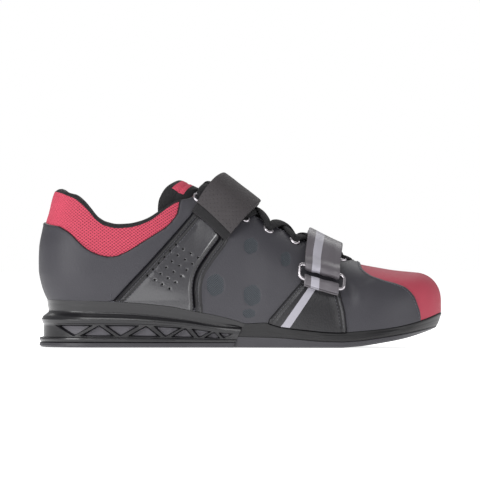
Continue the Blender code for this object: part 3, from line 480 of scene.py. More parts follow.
# Flat map of the skin in millimetres: the walk along the feather line, and the arc over the skin
STRETCH_STEPS = 400
TURN_STEPS = 160
MAP_STRETCH = np.linspace(0, 1, STRETCH_STEPS + 1)
MAP_TURNS = np.linspace(0, 2, TURN_STEPS + 1)
MAP_ARCS = np.arange(0, 321.0)
PLAN_WALK = {}
for _side in (-1.0, 1.0):
    _x, _y = feather(MAP_STRETCH, _side)
    _steps = np.hypot(np.diff(_x), np.diff(_y))
    PLAN_WALK[_side] = 1000 * np.concatenate([[0], np.cumsum(_steps)])
MEAN_WALK = (PLAN_WALK[-1.0] + PLAN_WALK[1.0]) / 2
_net = 1000 * skin(MAP_STRETCH[:, None], MAP_TURNS[None, :])
_steps = np.linalg.norm(np.diff(_net, axis=1), axis=-1)
ARC_OF_TURN = np.concatenate([np.zeros((len(MAP_STRETCH), 1)), np.cumsum(_steps, axis=1)], axis=1)
TURN_OF_ARC = np.stack([np.interp(MAP_ARCS, row, MAP_TURNS) for row in ARC_OF_TURN])

# Creases of the worn form: along, girth, length and width in mm, turn in degrees, height in mm
GIRTH_LENGTH = 62.0
CREASES = (
    (0.690, 0.62, 20.0, 3.0, 62, -0.55), (0.715, 0.66, 18.0, 3.0, 58, 0.50),
    (0.675, 1.40, 20.0, 3.0, -62, -0.50), (0.700, 1.36, 18.0, 3.0, -58, 0.45),
    (0.785, 0.42, 26.0, 3.6, 40, -0.45), (0.812, 0.46, 22.0, 3.2, 36, 0.40),
    (0.765, 0.34, 15.0, 4.2, 100, -0.80), (0.785, 0.36, 13.0, 3.0, 96, 0.55),
    (0.785, 1.58, 26.0, 3.6, -40, -0.45), (0.812, 1.54, 22.0, 3.2, -36, 0.40),
    (0.300, 0.28, 26.0, 5.0, 20, -0.50), (0.330, 0.36, 20.0, 4.0, 24, 0.35),
    (0.300, 1.72, 26.0, 5.0, -20, -0.50), (0.120, 0.56, 20.0, 5.0, -8, -0.40),
    (0.120, 1.44, 20.0, 5.0, 8, -0.40), (0.500, 0.30, 34.0, 6.0, 10, -0.40),
)


# Share of the length kept clear of both tips, where the side view has no depth
TIP_SHARE = 0.0005


def look_up(table, row, column):
    """Value of a table between its rows and columns."""
    row, column = np.broadcast_arrays(row, column)
    row = np.clip(row, 0, table.shape[0] - 1.000001)
    column = np.clip(column, 0, table.shape[1] - 1.000001)
    i, j = np.floor(row).astype(int), np.floor(column).astype(int)
    s, t = row - i, column - j
    low = table[i, j] * (1 - s) + table[i + 1, j] * s
    high = table[i, j + 1] * (1 - s) + table[i + 1, j + 1] * s
    return low * (1 - t) + high * t


def arc_to(stretch, girth):
    """Arc in millimetres from the outer feather to a girth."""
    row, column = np.asarray(stretch) * STRETCH_STEPS, np.asarray(girth) * (TURN_STEPS / 2)
    return look_up(ARC_OF_TURN, row, column)


def girth_to(stretch, arc):
    """Girth at an arc in millimetres from the outer feather."""
    return look_up(TURN_OF_ARC, np.asarray(stretch) * STRETCH_STEPS, arc)


def girth_of_arc(along, arc):
    """Girth at a distance walked over the skin from the ridge, negative to the outer side."""
    stretch = stretch_of(np.asarray(along, float))
    return girth_to(stretch, arc_to(stretch, 1.0 + 0 * stretch) + 1000 * np.asarray(arc, float))


def walk_of(stretch, side):
    """Walk along the feather line from the heel, in millimetres."""
    outer = np.interp(stretch, MAP_STRETCH, PLAN_WALK[-1.0])
    return np.where(side < 0, outer, np.interp(stretch, MAP_STRETCH, PLAN_WALK[1.0]))


def stretch_at(walk, side):
    """The inverse of walk_of."""
    outer = np.interp(walk, PLAN_WALK[-1.0], MAP_STRETCH)
    return np.where(side < 0, outer, np.interp(walk, PLAN_WALK[1.0], MAP_STRETCH))


def to_map(along, rise, side):
    """Flat map point of a share of the length and a rise from one side's feather."""
    along, rise = np.broadcast_arrays(np.asarray(along, float), np.asarray(rise, float))
    stretch = stretch_of(along)
    arc = arc_to(stretch, rise)
    if side > 0:
        arc = arc_to(stretch, 2.0 + 0 * rise) - arc_to(stretch, 2 - rise)
    return np.stack([side * walk_of(stretch, side), arc], axis=-1)


def from_map(points):
    """Stretch and girth of flat map points."""
    points = np.asarray(points, float)
    outer = points[:, 0] < 0
    stretch = stretch_at(np.abs(points[:, 0]), points[:, 0])
    whole = arc_to(stretch, 2.0 + 0 * stretch)
    return stretch, girth_to(stretch, np.where(outer, points[:, 1], whole - points[:, 1]))


def to_strip(along, girth):
    """Flat point of the strip that runs over the ridge from the outer to the inner feather."""
    along, girth = np.broadcast_arrays(np.asarray(along, float), np.asarray(girth, float))
    stretch = stretch_of(along)
    walk = np.interp(stretch, MAP_STRETCH, MEAN_WALK)
    return np.stack([walk, arc_to(stretch, girth)], axis=-1)


def from_strip(points):
    """Stretch and girth of points of the strip over the ridge."""
    stretch = np.interp(points[:, 0], MEAN_WALK, MAP_STRETCH)
    return stretch, girth_to(stretch, points[:, 1])


def from_side(x, z, side):
    """Share of the length and rise of the skin's point that shows at x, z in the side view."""
    x, z = np.asarray(x, float), np.asarray(z, float)
    along = (x + HEEL_CENTRE) / LAST_LENGTH
    for _ in range(10):
        place = np.clip(along, TIP_SHARE, 1 - TIP_SHARE)
        girth = girth_at_height(stretch_of(place), side, z)
        shown = skin(stretch_of(place), girth)
        along = np.clip(along + (x - shown[..., 0]) / LAST_LENGTH, TIP_SHARE, 1 - TIP_SHARE)
    return along, np.where(side < 0, girth, 2 - girth)


def creased(stretch, girth):
    """Soft creases and ridges of the worn form, as a lift in metres."""
    x, v = along_of(stretch) * LAST_LENGTH * 1000, girth * GIRTH_LENGTH
    total = 0 * x
    for along, middle, length, width, turn, height in CREASES:
        dx, dv = x - along * LAST_LENGTH * 1000, v - middle * GIRTH_LENGTH
        c, s = math.cos(math.radians(turn)), math.sin(math.radians(turn))
        run, across = dx * c + dv * s, -dx * s + dv * c
        fade = np.exp(-((run / length * 2) ** 4)) * np.exp(-((across / width) ** 2))
        total = total + height * fade
    return total * 0.001


def along_edge(loop, spacing, keep_corners=False):
    """An open line of 2D points, walked at an even spacing."""
    loop = np.asarray(loop, float)
    if keep_corners:
        parts = [along_edge(loop[i:i + 2], spacing)[:-1] for i in range(len(loop) - 1)]
        return np.concatenate(parts + [loop[-1:]])
    steps = np.linalg.norm(np.diff(loop, axis=0), axis=1)
    walk = np.concatenate([[0], np.cumsum(steps)])
    count = max(int(round(walk[-1] / spacing)), 1)
    places = np.linspace(0, walk[-1], count + 1)
    return np.stack([np.interp(places, walk, loop[:, k]) for k in (0, 1)], axis=-1)


def even_loop(corners, spacing):
    """Closed loop through corners, with points at an even spacing on each side."""
    corners = np.asarray(corners, float)
    parts = []
    for here, there in zip(corners, np.roll(corners, -1, axis=0)):
        if np.linalg.norm(there - here) > 1e-6:
            parts.append(along_edge([here, there], spacing)[:-1])
    return np.concatenate(parts)


def soft_line(points, passes=2):
    """Cut the corners of an open line, its two ends kept."""
    points = np.asarray(points, float)
    for _ in range(passes):
        a, b = points[:-1], points[1:]
        cut = np.stack([a * 0.75 + b * 0.25, a * 0.25 + b * 0.75], axis=1).reshape(-1, 2)
        points = np.concatenate([points[:1], cut, points[-1:]])
    return points


def left_of(tangent):
    """Unit vectors a quarter turn to the left of flat directions."""
    size = np.maximum(np.linalg.norm(tangent, axis=1, keepdims=True), 1e-9)
    return np.stack([-tangent[:, 1], tangent[:, 0]], axis=-1) / size


def inside_loop(points, loop):
    """Which points lie inside a closed loop."""
    x, y = points[:, 0], points[:, 1]
    hit = np.zeros(len(points), bool)
    for (x0, y0), (x1, y1) in zip(loop, np.roll(loop, -1, axis=0)):
        if y0 == y1:
            continue
        cross = (y0 > y) != (y1 > y)
        hit ^= cross & (x < (x1 - x0) * (y - y0) / (y1 - y0) + x0)
    return hit


def line_distance(points, line, closed=False):
    """Distance of points to a line, in the map's millimetres."""
    line = np.asarray(line, float)
    ends = np.roll(line, -1, axis=0) if closed else line[1:]
    starts = line if closed else line[:-1]
    best = np.full(len(points), 1e9)
    for a, b in zip(starts, ends):
        ab = b - a
        size = float(ab @ ab)
        if size < 1e-12:
            continue
        t = np.clip(((points - a) @ ab) / size, 0, 1)
        best = np.minimum(best, np.hypot(*(points - a - t[:, None] * ab).T))
    return best


def link(name, mesh, finishes, replaced=(), smooth=40):
    """Object of a finished mesh that rides on the shoe and stands for its solids."""
    piece = bpy.data.objects.new(name, mesh)
    bpy.context.scene.collection.objects.link(piece)
    for finish in finishes:
        mesh.materials.append(finish)
    mesh.shade_smooth()
    if smooth < 180:
        mesh.set_sharp_from_angle(angle=math.radians(smooth))
    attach(piece, "root")
    if replaced:
        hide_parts(*replaced)
    return piece


def mesh_of(name, points, faces, chosen=None, flat=None):
    """Mesh of points and faces, with a material number per face and a flat map as its UVs."""
    mesh = bpy.data.meshes.new(name)
    mesh.from_pydata(np.asarray(points).tolist(), [], [tuple(map(int, f)) for f in faces])
    if chosen is not None:
        mesh.polygons.foreach_set("material_index", np.asarray(chosen, np.int32))
    if flat is not None:
        layer = mesh.uv_layers.new(name="flat")
        corner = np.zeros(len(mesh.loops), np.int32)
        mesh.loops.foreach_get("vertex_index", corner)
        layer.data.foreach_set("uv", np.asarray(flat, np.float32)[corner].ravel())
    mesh.update()
    return mesh


def fill_sheet(outline, spacing, loops=(), dots=(), edge_rings=(0.3, 0.9)):
    """Triangulate the inside of an outline with even points; loops become edges of the net."""
    outline = even_loop(outline, spacing)
    loops = [even_loop(loop, spacing) for loop in loops]
    low, high = outline.min(axis=0), outline.max(axis=0)
    rows = np.arange(low[1], high[1], spacing * 0.866)
    grid = []
    for k, y in enumerate(rows):
        xs = np.arange(low[0] + (k % 2) * spacing / 2, high[0], spacing)
        grid.append(np.stack([xs, 0 * xs + y], axis=-1))
    grid = np.concatenate(grid)
    grid = grid[inside_loop(grid, outline)]
    grid = grid[line_distance(grid, outline, True) > max(edge_rings[-1] * 1.5, 0.45 * spacing)]
    for loop in loops:
        grid = grid[line_distance(grid, loop, True) > 0.45 * spacing]
    turn = left_of(np.roll(outline, -1, axis=0) - np.roll(outline, 1, axis=0))
    turn = np.where(inside_loop(outline + turn * 0.05, outline)[:, None], turn, -turn)
    extra = []
    for ring_at in edge_rings:
        ring_points = outline + turn * ring_at
        keep = inside_loop(ring_points, outline)
        keep &= line_distance(ring_points, outline, True) > ring_at * 0.9
        extra.append(ring_points[keep])
    for dot in dots:
        centre = dot.mean(axis=0)
        reach = np.max(np.hypot(*(dot - centre).T))
        grid = grid[np.hypot(*(grid - centre).T) > reach + 0.35 * spacing]
        extra.append(dot)
    points = [outline] + loops + [grid] + extra
    edges, start = [], 0
    for ring_points in [outline] + loops:
        count = len(ring_points)
        edges += [(start + i, start + (i + 1) % count) for i in range(count)]
        start += count
    flat = np.concatenate(points)
    out, _, faces, _, _, _ = delaunay_2d_cdt([Vector(p) for p in flat], edges, [], 0, 1e-5)
    out = np.array([(p.x, p.y) for p in out])
    faces = np.array([f for f in faces if len(f) == 3])
    centres = out[faces].mean(axis=1)
    return out, faces[inside_loop(centres, outline)]


def rounded(distance, reach):
    """Quarter-round edge: 0 at the edge, 1 from reach inwards."""
    t = np.clip(distance / reach, 0, 1)
    return np.sqrt(np.clip(1 - (1 - t) ** 2, 0, 1))


def bump_line(distance, half, height):
    """Soft raised or sunk line of a half width and height."""
    return height * eased(np.clip(1 - distance / half, 0, 1))


def beads(points, line, rows):
    """Welts beside a line, each row a distance from it, a half width and a height in mm."""
    far = line_distance(points, line)
    return sum(bump_line(np.abs(far - place), half, height) for place, half, height in rows)


def hole_dots(centres, radius):
    """Points of round dents: rim, wall and floor."""
    dots = []
    for centre in centres:
        rings = [np.asarray(centre, float)[None, :]]
        for r in (radius * 1.25, radius, radius * 0.72):
            turns = np.linspace(0, 2 * np.pi, 12, endpoint=False)
            circle = [centre[0] + r * np.cos(turns), centre[1] + r * np.sin(turns)]
            rings.append(np.stack(circle, axis=-1))
        dots.append(np.concatenate(rings))
    return dots


def tube(points, radius, sides=10, closed=False):
    """Round tube along 3D points, as points and faces."""
    points = np.asarray(points, float)
    count = len(points)
    if closed:
        tangent = np.roll(points, -1, axis=0) - np.roll(points, 1, axis=0)
    else:
        tangent = np.gradient(points, axis=0)
    tangent = tangent / np.linalg.norm(tangent, axis=1, keepdims=True)
    up = np.array([0.0, 0.3, 1.0]) if abs(tangent[0][2]) < 0.8 else np.array([1.0, 0.0, 0.0])
    rings = []
    normal = up - tangent[0] * (up @ tangent[0])
    for i in range(count):
        normal = normal - tangent[i] * (normal @ tangent[i])
        normal = normal / np.linalg.norm(normal)
        other = np.cross(tangent[i], normal)
        turns = np.linspace(0, 2 * np.pi, sides, endpoint=False)[:, None]
        r = radius[i] if np.ndim(radius) else radius
        rings.append(points[i] + r * (np.cos(turns) * normal + np.sin(turns) * other))
    verts = np.concatenate(rings)
    faces = []
    for i in range(count if closed else count - 1):
        j = (i + 1) % count
        for k in range(sides):
            m = (k + 1) % sides
            faces.append((i * sides + k, i * sides + m, j * sides + m, j * sides + k))
    if not closed:
        faces.append(tuple(range(sides))[::-1])
        faces.append(tuple((count - 1) * sides + k for k in range(sides)))
    return verts, faces


def joined(parts):
    """Several (points, faces) as one."""
    faces, start = [], 0
    for points, some in parts:
        faces += [tuple(i + start for i in f) for f in some]
        start += len(points)
    return np.concatenate([points for points, _ in parts]), faces


def linear(code):
    """A display colour code as linear red, green, blue and alpha."""
    values = [int(code[i:i + 2], 16) / 255 for i in (1, 3, 5)]
    return [v / 12.92 if v <= 0.04045 else ((v + 0.055) / 1.055) ** 2.4 for v in values] + [1.0]


def add(tree, kind, inputs=None, **settings):
    """Adds one shader node with its settings, values and links, and returns its outputs."""
    made = tree.nodes.new("ShaderNode" + kind)
    for name, value in settings.items():
        setattr(made, name, value)
    for name, value in (inputs or {}).items():
        if isinstance(value, bpy.types.NodeSocket):
            tree.links.new(value, made.inputs[name])
        else:
            made.inputs[name].default_value = value
    return made.outputs


def maths(tree, operation, first, second=0.0):
    """One Math node."""
    return add(tree, "Math", {0: first, 1: second}, operation=operation)[0]


def flat_axes(tree):
    """The flat map's two axes, in millimetres."""
    place = add(tree, "UVMap", uv_map="flat")[0]
    split = add(tree, "SeparateXYZ", {0: place})
    return place, split[0], split[1]


def sine(tree, value, period, shift=0.0):
    """Sine of a length in millimetres with a period."""
    turned = maths(tree, "MULTIPLY_ADD", value, 2 * math.pi / period)
    turned.node.inputs[2].default_value = shift
    return maths(tree, "SINE", turned)


def surface(name, colour, rough, detail=None, **shader):
    """Principled material. detail fills in the linked colour, roughness and bump."""
    made = bpy.data.materials.new(name)
    made.use_nodes = True
    tree = made.node_tree
    tree.nodes.clear()
    inputs = {"Base Color": colour, "Roughness": rough}
    inputs.update({key.replace("_", " "): value for key, value in shader.items()})
    if detail:
        inputs.update(detail(tree, colour))
    made_shader = add(tree, "BsdfPrincipled", inputs)[0]
    add(tree, "OutputMaterial", {"Surface": made_shader})
    made.diffuse_color = colour
    return made


def bump(tree, height, distance, strength=1.0, under=None):
    """Bump from a height between 0 and 1, its depth in metres."""
    inputs = {"Height": height, "Distance": distance, "Strength": strength}
    if under is not None:
        inputs["Normal"] = under
    return add(tree, "Bump", inputs)[0]


def noise(tree, size, detail=3.0, where=None):
    """Noise of a feature size in metres, in object space."""
    inputs = {"Scale": 1.0 / size, "Detail": detail}
    inputs["Vector"] = where or add(tree, "TexCoord")["Object"]
    return add(tree, "TexNoise", inputs)["Fac"]


def mixed(tree, factor, first, second):
    """Mix of two colours."""
    inputs = {"Factor": factor, 6: first, 7: second}
    return add(tree, "Mix", inputs, data_type="RGBA")[2]


def shade(colour, factor):
    """Colour scaled in brightness."""
    return [min(c * factor, 1.0) for c in colour[:3]] + [1.0]


def knit_detail(column, row, depth, dark, calm=0.0):
    """Open knit: staggered rows of small holes between raised yarns, calmer at the back seam."""
    def detail(tree, colour):
        _, a, b = flat_axes(tree)
        crossing = maths(tree, "MULTIPLY", sine(tree, a, column * 2), sine(tree, b, row * 2))
        holes = add(tree, "MapRange", {0: crossing, 1: 0.05, 2: 0.75},
                    interpolation_type="SMOOTHSTEP")[0]
        if calm:
            reach = {0: maths(tree, "ABSOLUTE", a), 1: calm, 2: calm * 1.8, 3: 0.25}
            holes = maths(tree, "MULTIPLY", holes, add(tree, "MapRange", reach)[0])
        fuzz = maths(tree, "MULTIPLY", noise(tree, 0.004, 4.0), 0.30)
        tone = mixed(tree, fuzz, shade(colour, 1.12), shade(colour, 0.80))
        # The knit's openings are darkened towards dark: painted shade in the gaps between the yarns
        shown = maths(tree, "MULTIPLY", holes, 0.9)
        return {
            "Base Color": mixed(tree, shown, tone, shade(colour, dark)),
            "Normal": bump(tree, maths(tree, "SUBTRACT", 1.0, holes), depth, 0.8),
        }
    return detail


def skin_detail(size, depth, spread):
    """Fine pressed grain with faint clouds of tone."""
    def detail(tree, colour):
        place = add(tree, "TexCoord")["Object"]
        cells = add(tree, "TexVoronoi", {"Vector": place, "Scale": 1.0 / size})["Distance"]
        clouds = noise(tree, 0.018, 2.0, place)
        fine = bump(tree, cells, depth, 0.6)
        return {
            "Base Color": mixed(tree, clouds, shade(colour, 1 - spread), shade(colour, 1 + spread)),
            "Normal": fine,
        }
    return detail


def weave_detail(period, depth):
    """Diagonal weave of a flat lace or lining."""
    def detail(tree, colour):
        _, a, b = flat_axes(tree)
        first = sine(tree, maths(tree, "ADD", a, b), period)
        second = sine(tree, maths(tree, "SUBTRACT", a, b), period)
        height = maths(tree, "MULTIPLY", first, second)
        raised = maths(tree, "ABSOLUTE", height)
        fuzz = bump(tree, noise(tree, 0.0012, 3.0), 0.0002, 0.4)
        return {
            "Base Color": mixed(tree, raised, shade(colour, 0.6), shade(colour, 1.25)),
            "Normal": bump(tree, maths(tree, "MULTIPLY_ADD", height, 0.5), depth, 0.7, fuzz),
        }
    return detail


def strap_detail(tree, colour):
    """Napped strap with rows of faint pressed dots."""
    _, a, b = flat_axes(tree)
    dots = maths(tree, "MULTIPLY", sine(tree, a, 3.4), sine(tree, b, 3.4))
    pressed = add(tree, "MapRange", {0: dots, 1: 0.55, 2: 0.95})[0]
    nap = noise(tree, 0.0006, 4.0)
    clouds = noise(tree, 0.010, 2.0)
    tone = mixed(tree, clouds, shade(colour, 0.86), shade(colour, 1.14))
    under = bump(tree, nap, 0.00015, 0.5)
    shown = maths(tree, "MULTIPLY", pressed, 0.30)
    return {
        "Base Color": mixed(tree, shown, tone, shade(colour, 0.55)),
        "Normal": bump(tree, maths(tree, "SUBTRACT", 1.0, pressed), 0.0003, 0.8, under),
    }


def soft_detail(size, depth, spread=0.10):
    """Soft unevenness of moulded or brushed surfaces."""
    def detail(tree, colour):
        clouds = noise(tree, size * 12, 2.0)
        return {
            "Base Color": mixed(tree, clouds, shade(colour, 1 - spread), shade(colour, 1 + spread)),
            "Normal": bump(tree, noise(tree, size, 3.0), depth, 0.5),
        }
    return detail


def make_finishes(colours):
    """All the materials, named for what they are made of; shadowed_hole is painted shade, not a
    material.
    """
    c = {key: list(getattr(colours, key)) + [1.0] for key in COLOUR_NAMES}
    return {
        # Open knit: dots of shadow between coral red yarns
        "knit": surface(
            "polyester_knit_red", c["red"], 0.78, knit_detail(1.45, 1.15, 0.0007, 0.42, 24.0),
        ),
        # Closer, smoother knit of the toe
        "toe_knit": surface(
            "polyester_knit_toe", c["toe"], 0.58, knit_detail(0.60, 0.50, 0.00025, 0.75),
        ),
        # Smooth synthetic leather with a dry, bluish grey look
        "smooth": surface(
            "synthetic_leather_smooth", c["dark"], 0.52, skin_detail(0.0009, 0.00010, 0.07),
        ),
        # Coated synthetic leather: darker, with soft bright reflections
        "glossy": surface(
            "coated_leather_glossy", c["glossy"], 0.38, skin_detail(0.0013, 0.00014, 0.10),
            Coat_Weight=1.0, Coat_Roughness=0.20, Coat_IOR=1.7,
        ),
        # Fine grained coated leather of the strap anchors: near black
        "anchor": surface(
            "coated_leather_black", c["anchor"], 0.42, skin_detail(0.0013, 0.00016, 0.08),
            Coat_Weight=0.12, Coat_Roughness=0.3,
        ),
        # Moulded polyurethane: hard shine on black
        "moulded": surface(
            "moulded_polyurethane", c["sole"], 0.36, soft_detail(0.0020, 0.00006),
            Coat_Weight=0.35, Coat_Roughness=0.12,
        ),
        # Forefoot rand: the same moulding left satin, so it stays the darkest part of the sole
        "rand": surface(
            "moulded_polyurethane_satin", c["rand"], 0.48, soft_detail(0.0016, 0.00008),
        ),
        # Same moulding, sand-blasted floor of the windows
        "moulded_dull": surface(
            "moulded_polyurethane_dull", c["recess"], 0.50, soft_detail(0.0012, 0.00010),
        ),
        # Carbon rubber of the outsole
        "rubber": surface("carbon_rubber", c["rubber"], 0.46, soft_detail(0.0010, 0.00010)),
        # Napped strap
        "strap": surface("nubuck_strap", c["strap"], 0.70, strap_detail),
        # Coated face of the front strap: grey, with soft bright folds
        "strap_coated": surface(
            "coated_strap_grey", c["coated"], 0.46, skin_detail(0.0011, 0.00012, 0.12),
            Coat_Weight=0.25, Coat_Roughness=0.3,
        ),
        # Ground edge of the strap: a paler cut line
        "strap_edge": surface("nubuck_cut_edge", c["edge"], 0.65),
        # Printed film: silver grey, half gloss
        "stripe": surface(
            "printed_film_silver", c["silver"], 0.42, soft_detail(0.0010, 0.00005, 0.06),
        ),
        # Woven flat lace
        "lace": surface("woven_polyester_lace", c["lace"], 0.82, weave_detail(1.1, 0.0003)),
        # Binding tape and thread
        "tape": surface("woven_binding_tape", c["lace"], 0.75, weave_detail(0.9, 0.0002)),
        "thread": surface("polyester_thread", c["thread"], 0.55),
        # Lining cloth
        "lining": surface("lining_cloth", c["lining"], 0.88, weave_detail(1.4, 0.0003)),
        # Mesh behind the windows: bluish, with tiny pores
        "pores": surface(
            "spacer_mesh_blue", c["pores"], 0.60, knit_detail(0.85, 0.85, 0.0004, 0.55),
        ),
        # Deep shadow of holes
        "hole": surface("shadowed_hole", c["hole"], 0.90),
        # Nickel plated wire
        "wire": surface("nickel_plated_wire", c["wire"], 0.24, Metallic=1.0),
    }


COLOUR_TABLE = (
    ("red", "Knit red", "Coral red of the collar's knit", "#BD4056"),
    ("toe", "Toe red", "Red of the toe's knit", "#AE3B4E"),
    ("dark", "Smooth dark", "Counter, quarter and vamp", "#35343A"),
    ("glossy", "Glossy dark", "Coated panels", "#222127"),
    ("anchor", "Anchor dark", "Strap anchors", "#141317"),
    ("sole", "Sole", "Moulded heel", "#131216"),
    ("rand", "Rand", "Forefoot rand", "#0F0E11"),
    ("recess", "Recess", "Floor of the heel's windows", "#56545A"),
    ("rubber", "Rubber", "Outsole", "#343338"),
    ("strap", "Strap", "Napped straps", "#373335"),
    ("coated", "Strap coating", "Coated face of the front strap", "#585459"),
    ("edge", "Strap edge", "Cut edge of the straps", "#454143"),
    ("silver", "Silver", "Printed stripe", "#A09EA7"),
    ("lace", "Lace", "Laces and tape", "#151417"),
    ("thread", "Thread", "Seam thread", "#4C4B52"),
    ("lining", "Lining", "Lining cloth and footbed", "#1B1A1D"),
    ("pores", "Mesh window", "Mesh behind the quarter's windows", "#32373D"),
    # Inside of holes: near black, painted shade for the floors of perforations and eyelets
    ("hole", "Hole", "Inside of holes", "#0A0A0C"),
    ("wire", "Wire", "Plated rings and eyelets", "#C2BDC2"),
)
COLOUR_NAMES = [row[0] for row in COLOUR_TABLE]


# Distance in m of the heel's rearmost point behind the frame's middle
HEEL_REACH = 0.15013

# Perforations of a strap panel in the side view, in mm: four by six, their steps and their radius
HOLE_FIRST = (81.7, 53.1)
HOLE_STEP = (5.5, -3.2)
HOLE_ROW_STEP = (4.2, 4.5)
HOLE_RADIUS = 0.82


def through(points, steps=8):
    """Smooth curve through the points of an open line."""
    p = np.concatenate([[2 * points[0] - points[1]], points, [2 * points[-1] - points[-2]]])
    t = np.linspace(0, 1, steps, endpoint=False)[:, None]
    parts = []
    for a, b, c, d in zip(p[:-3], p[1:-2], p[2:-1], p[3:]):
        parts.append(((2 * b) + (c - a) * t + (2 * a - 5 * b + 4 * c - d) * t**2
                      + (3 * b - a - 3 * c + d) * t**3) / 2)
    return np.concatenate(parts + [points[-1:]])


def seam_path(rows, side, spacing=2.0, corners=0.0):
    """Seam of a table, on one side of the skin, as flat map points from its first row on."""
    rows = np.array(rows, float)
    x = rows[:, 0] * LAST_LENGTH - HEEL_CENTRE
    z = rows[:, 1] * COLLAR_HEIGHT
    line = np.stack([x, z], axis=-1) * 1000
    if corners:
        line = soft_line(along_edge(line, corners, True), 3)
    else:
        line = through(line)
    line = along_edge(line, spacing) / 1000
    return from_side(line[:, 0], line[:, 1], side)


def open_rise(along, side):
    """Rise of the opening's edge on one side."""
    girth = open_girth(stretch_of(along), side)
    return np.where(side < 0, girth, 2 - girth)


def until_open(along, rise, side):
    """Cut a rising seam where it meets the opening's edge."""
    edge = open_rise(along, side)
    keep = rise < edge - 1e-4
    last = int(np.argmin(keep)) if not keep.all() else len(keep)
    last = max(last, 1)
    end = min(last, len(along) - 1)
    along = np.concatenate([along[:last], along[end:end + 1]])
    rise = np.concatenate([rise[:last], open_rise(along[-1:], side)])
    return along, rise


def edge_path(first, last, side, spacing=0.004):
    """The opening's edge between two shares of the length."""
    count = max(int(abs(last - first) / spacing), 2)
    along = np.linspace(first, last, count)
    return along, open_rise(along, side)


def as_map(path, side):
    """Flat map points of a path."""
    return to_map(path[0], path[1], side)


def side_view(points, side):
    """Flat map points of side-view points, in millimetres from the heel's rearmost point."""
    points = np.array(points, float)
    return to_map(*from_side(points[:, 0] / 1000 - HEEL_REACH, points[:, 1] / 1000, side), side)


def feather_path(first, last, side, count=40):
    """Flat map points along the feather line."""
    return to_map(np.linspace(first, last, count), np.zeros(count), side)


# Pieces: the panels' height over the knit in mm, and the net's rings beside a welt
LAYER = 1000 * (GAP + OVERLAY)
WELT_RINGS = (0.3, 0.9, 1.6, 2.3, 3.1, 3.9, 4.6, 5.3, 6.1)


def cover(name, outline, free, finishes, replaced, low=0.0, high=LAYER, spacing=1.6,
          loops=(), dots=(), shape=None, choose=None, strip=False, edge=1.3, rings=(0.3, 0.9)):
    """One panel laid over the skin: rounded at its free edges, shaped by seams and dents."""
    points, faces = fill_sheet(outline, spacing, loops, dots, rings)
    away = np.full(len(points), np.inf)
    for line in free:
        away = np.minimum(away, line_distance(points, line))
    height = low + (high - low) * rounded(away, edge)
    if shape is not None:
        height = height + shape(points)
    stretch, girth = from_strip(points) if strip else from_map(points)
    xyz = lifted(stretch, girth, height / 1000 + creased(stretch, girth))
    centres = points[faces].mean(axis=1)
    chosen = choose(centres) if choose is not None else None
    mesh = mesh_of(name, xyz, faces, chosen, points)
    outward = np.array([p.normal for p in mesh.polygons])
    places = np.array([p.center for p in mesh.polygons])
    aim = places * np.array([0.15, 1.0, 1.0]) - np.array([0.0, 0.0, 0.03])
    if np.sum(np.einsum("ij,ij->i", outward, aim)) < 0:
        mesh.flip_normals()
    return link(name, mesh, finishes, replaced)


def stitches(name, lines, low, finish, spacing=2.6, length=1.9, radius=0.30, mapper=None):
    """Rows of raised thread along flat map lines, as one mesh."""
    parts = []
    for line in lines:
        line = along_edge(line, spacing)
        for here, there in zip(line[:-1], line[1:]):
            middle, half = (here + there) / 2, (there - here) / 2
            half = half / max(np.linalg.norm(half), 1e-9) * length / 2
            ends = np.array([middle + half * t for t in (-1.0, -0.6, 0.0, 0.6, 1.0)])
            stretch, girth = (mapper or from_map)(ends)
            rise = np.array([-0.15, 0.12, 0.22, 0.12, -0.15]) + low
            path = lifted(stretch, girth, rise / 1000 + creased(stretch, girth))
            size = np.array([0.5, 0.9, 1.0, 0.9, 0.5]) * radius / 1000
            parts.append(tube(path, size, 5))
    points, faces = joined(parts)
    mesh = mesh_of(name, points, faces)
    return link(name, mesh, [finish], (), 180)


def turn_outwards(mesh):
    """Flip a closed mesh whose faces look inwards."""
    probe = bmesh.new()
    probe.from_mesh(mesh)
    if probe.calc_volume(signed=True) < 0:
        mesh.flip_normals()
    probe.free()


def grid_faces(rows, columns, closed=False, start=0):
    """Quads of a grid stored row by row."""
    faces = []
    for i in range(rows - 1):
        for j in range(columns if closed else columns - 1):
            k = (j + 1) % columns
            a, b = start + i * columns, start + (i + 1) * columns
            faces.append((a + j, a + k, b + k, b + j))
    return faces


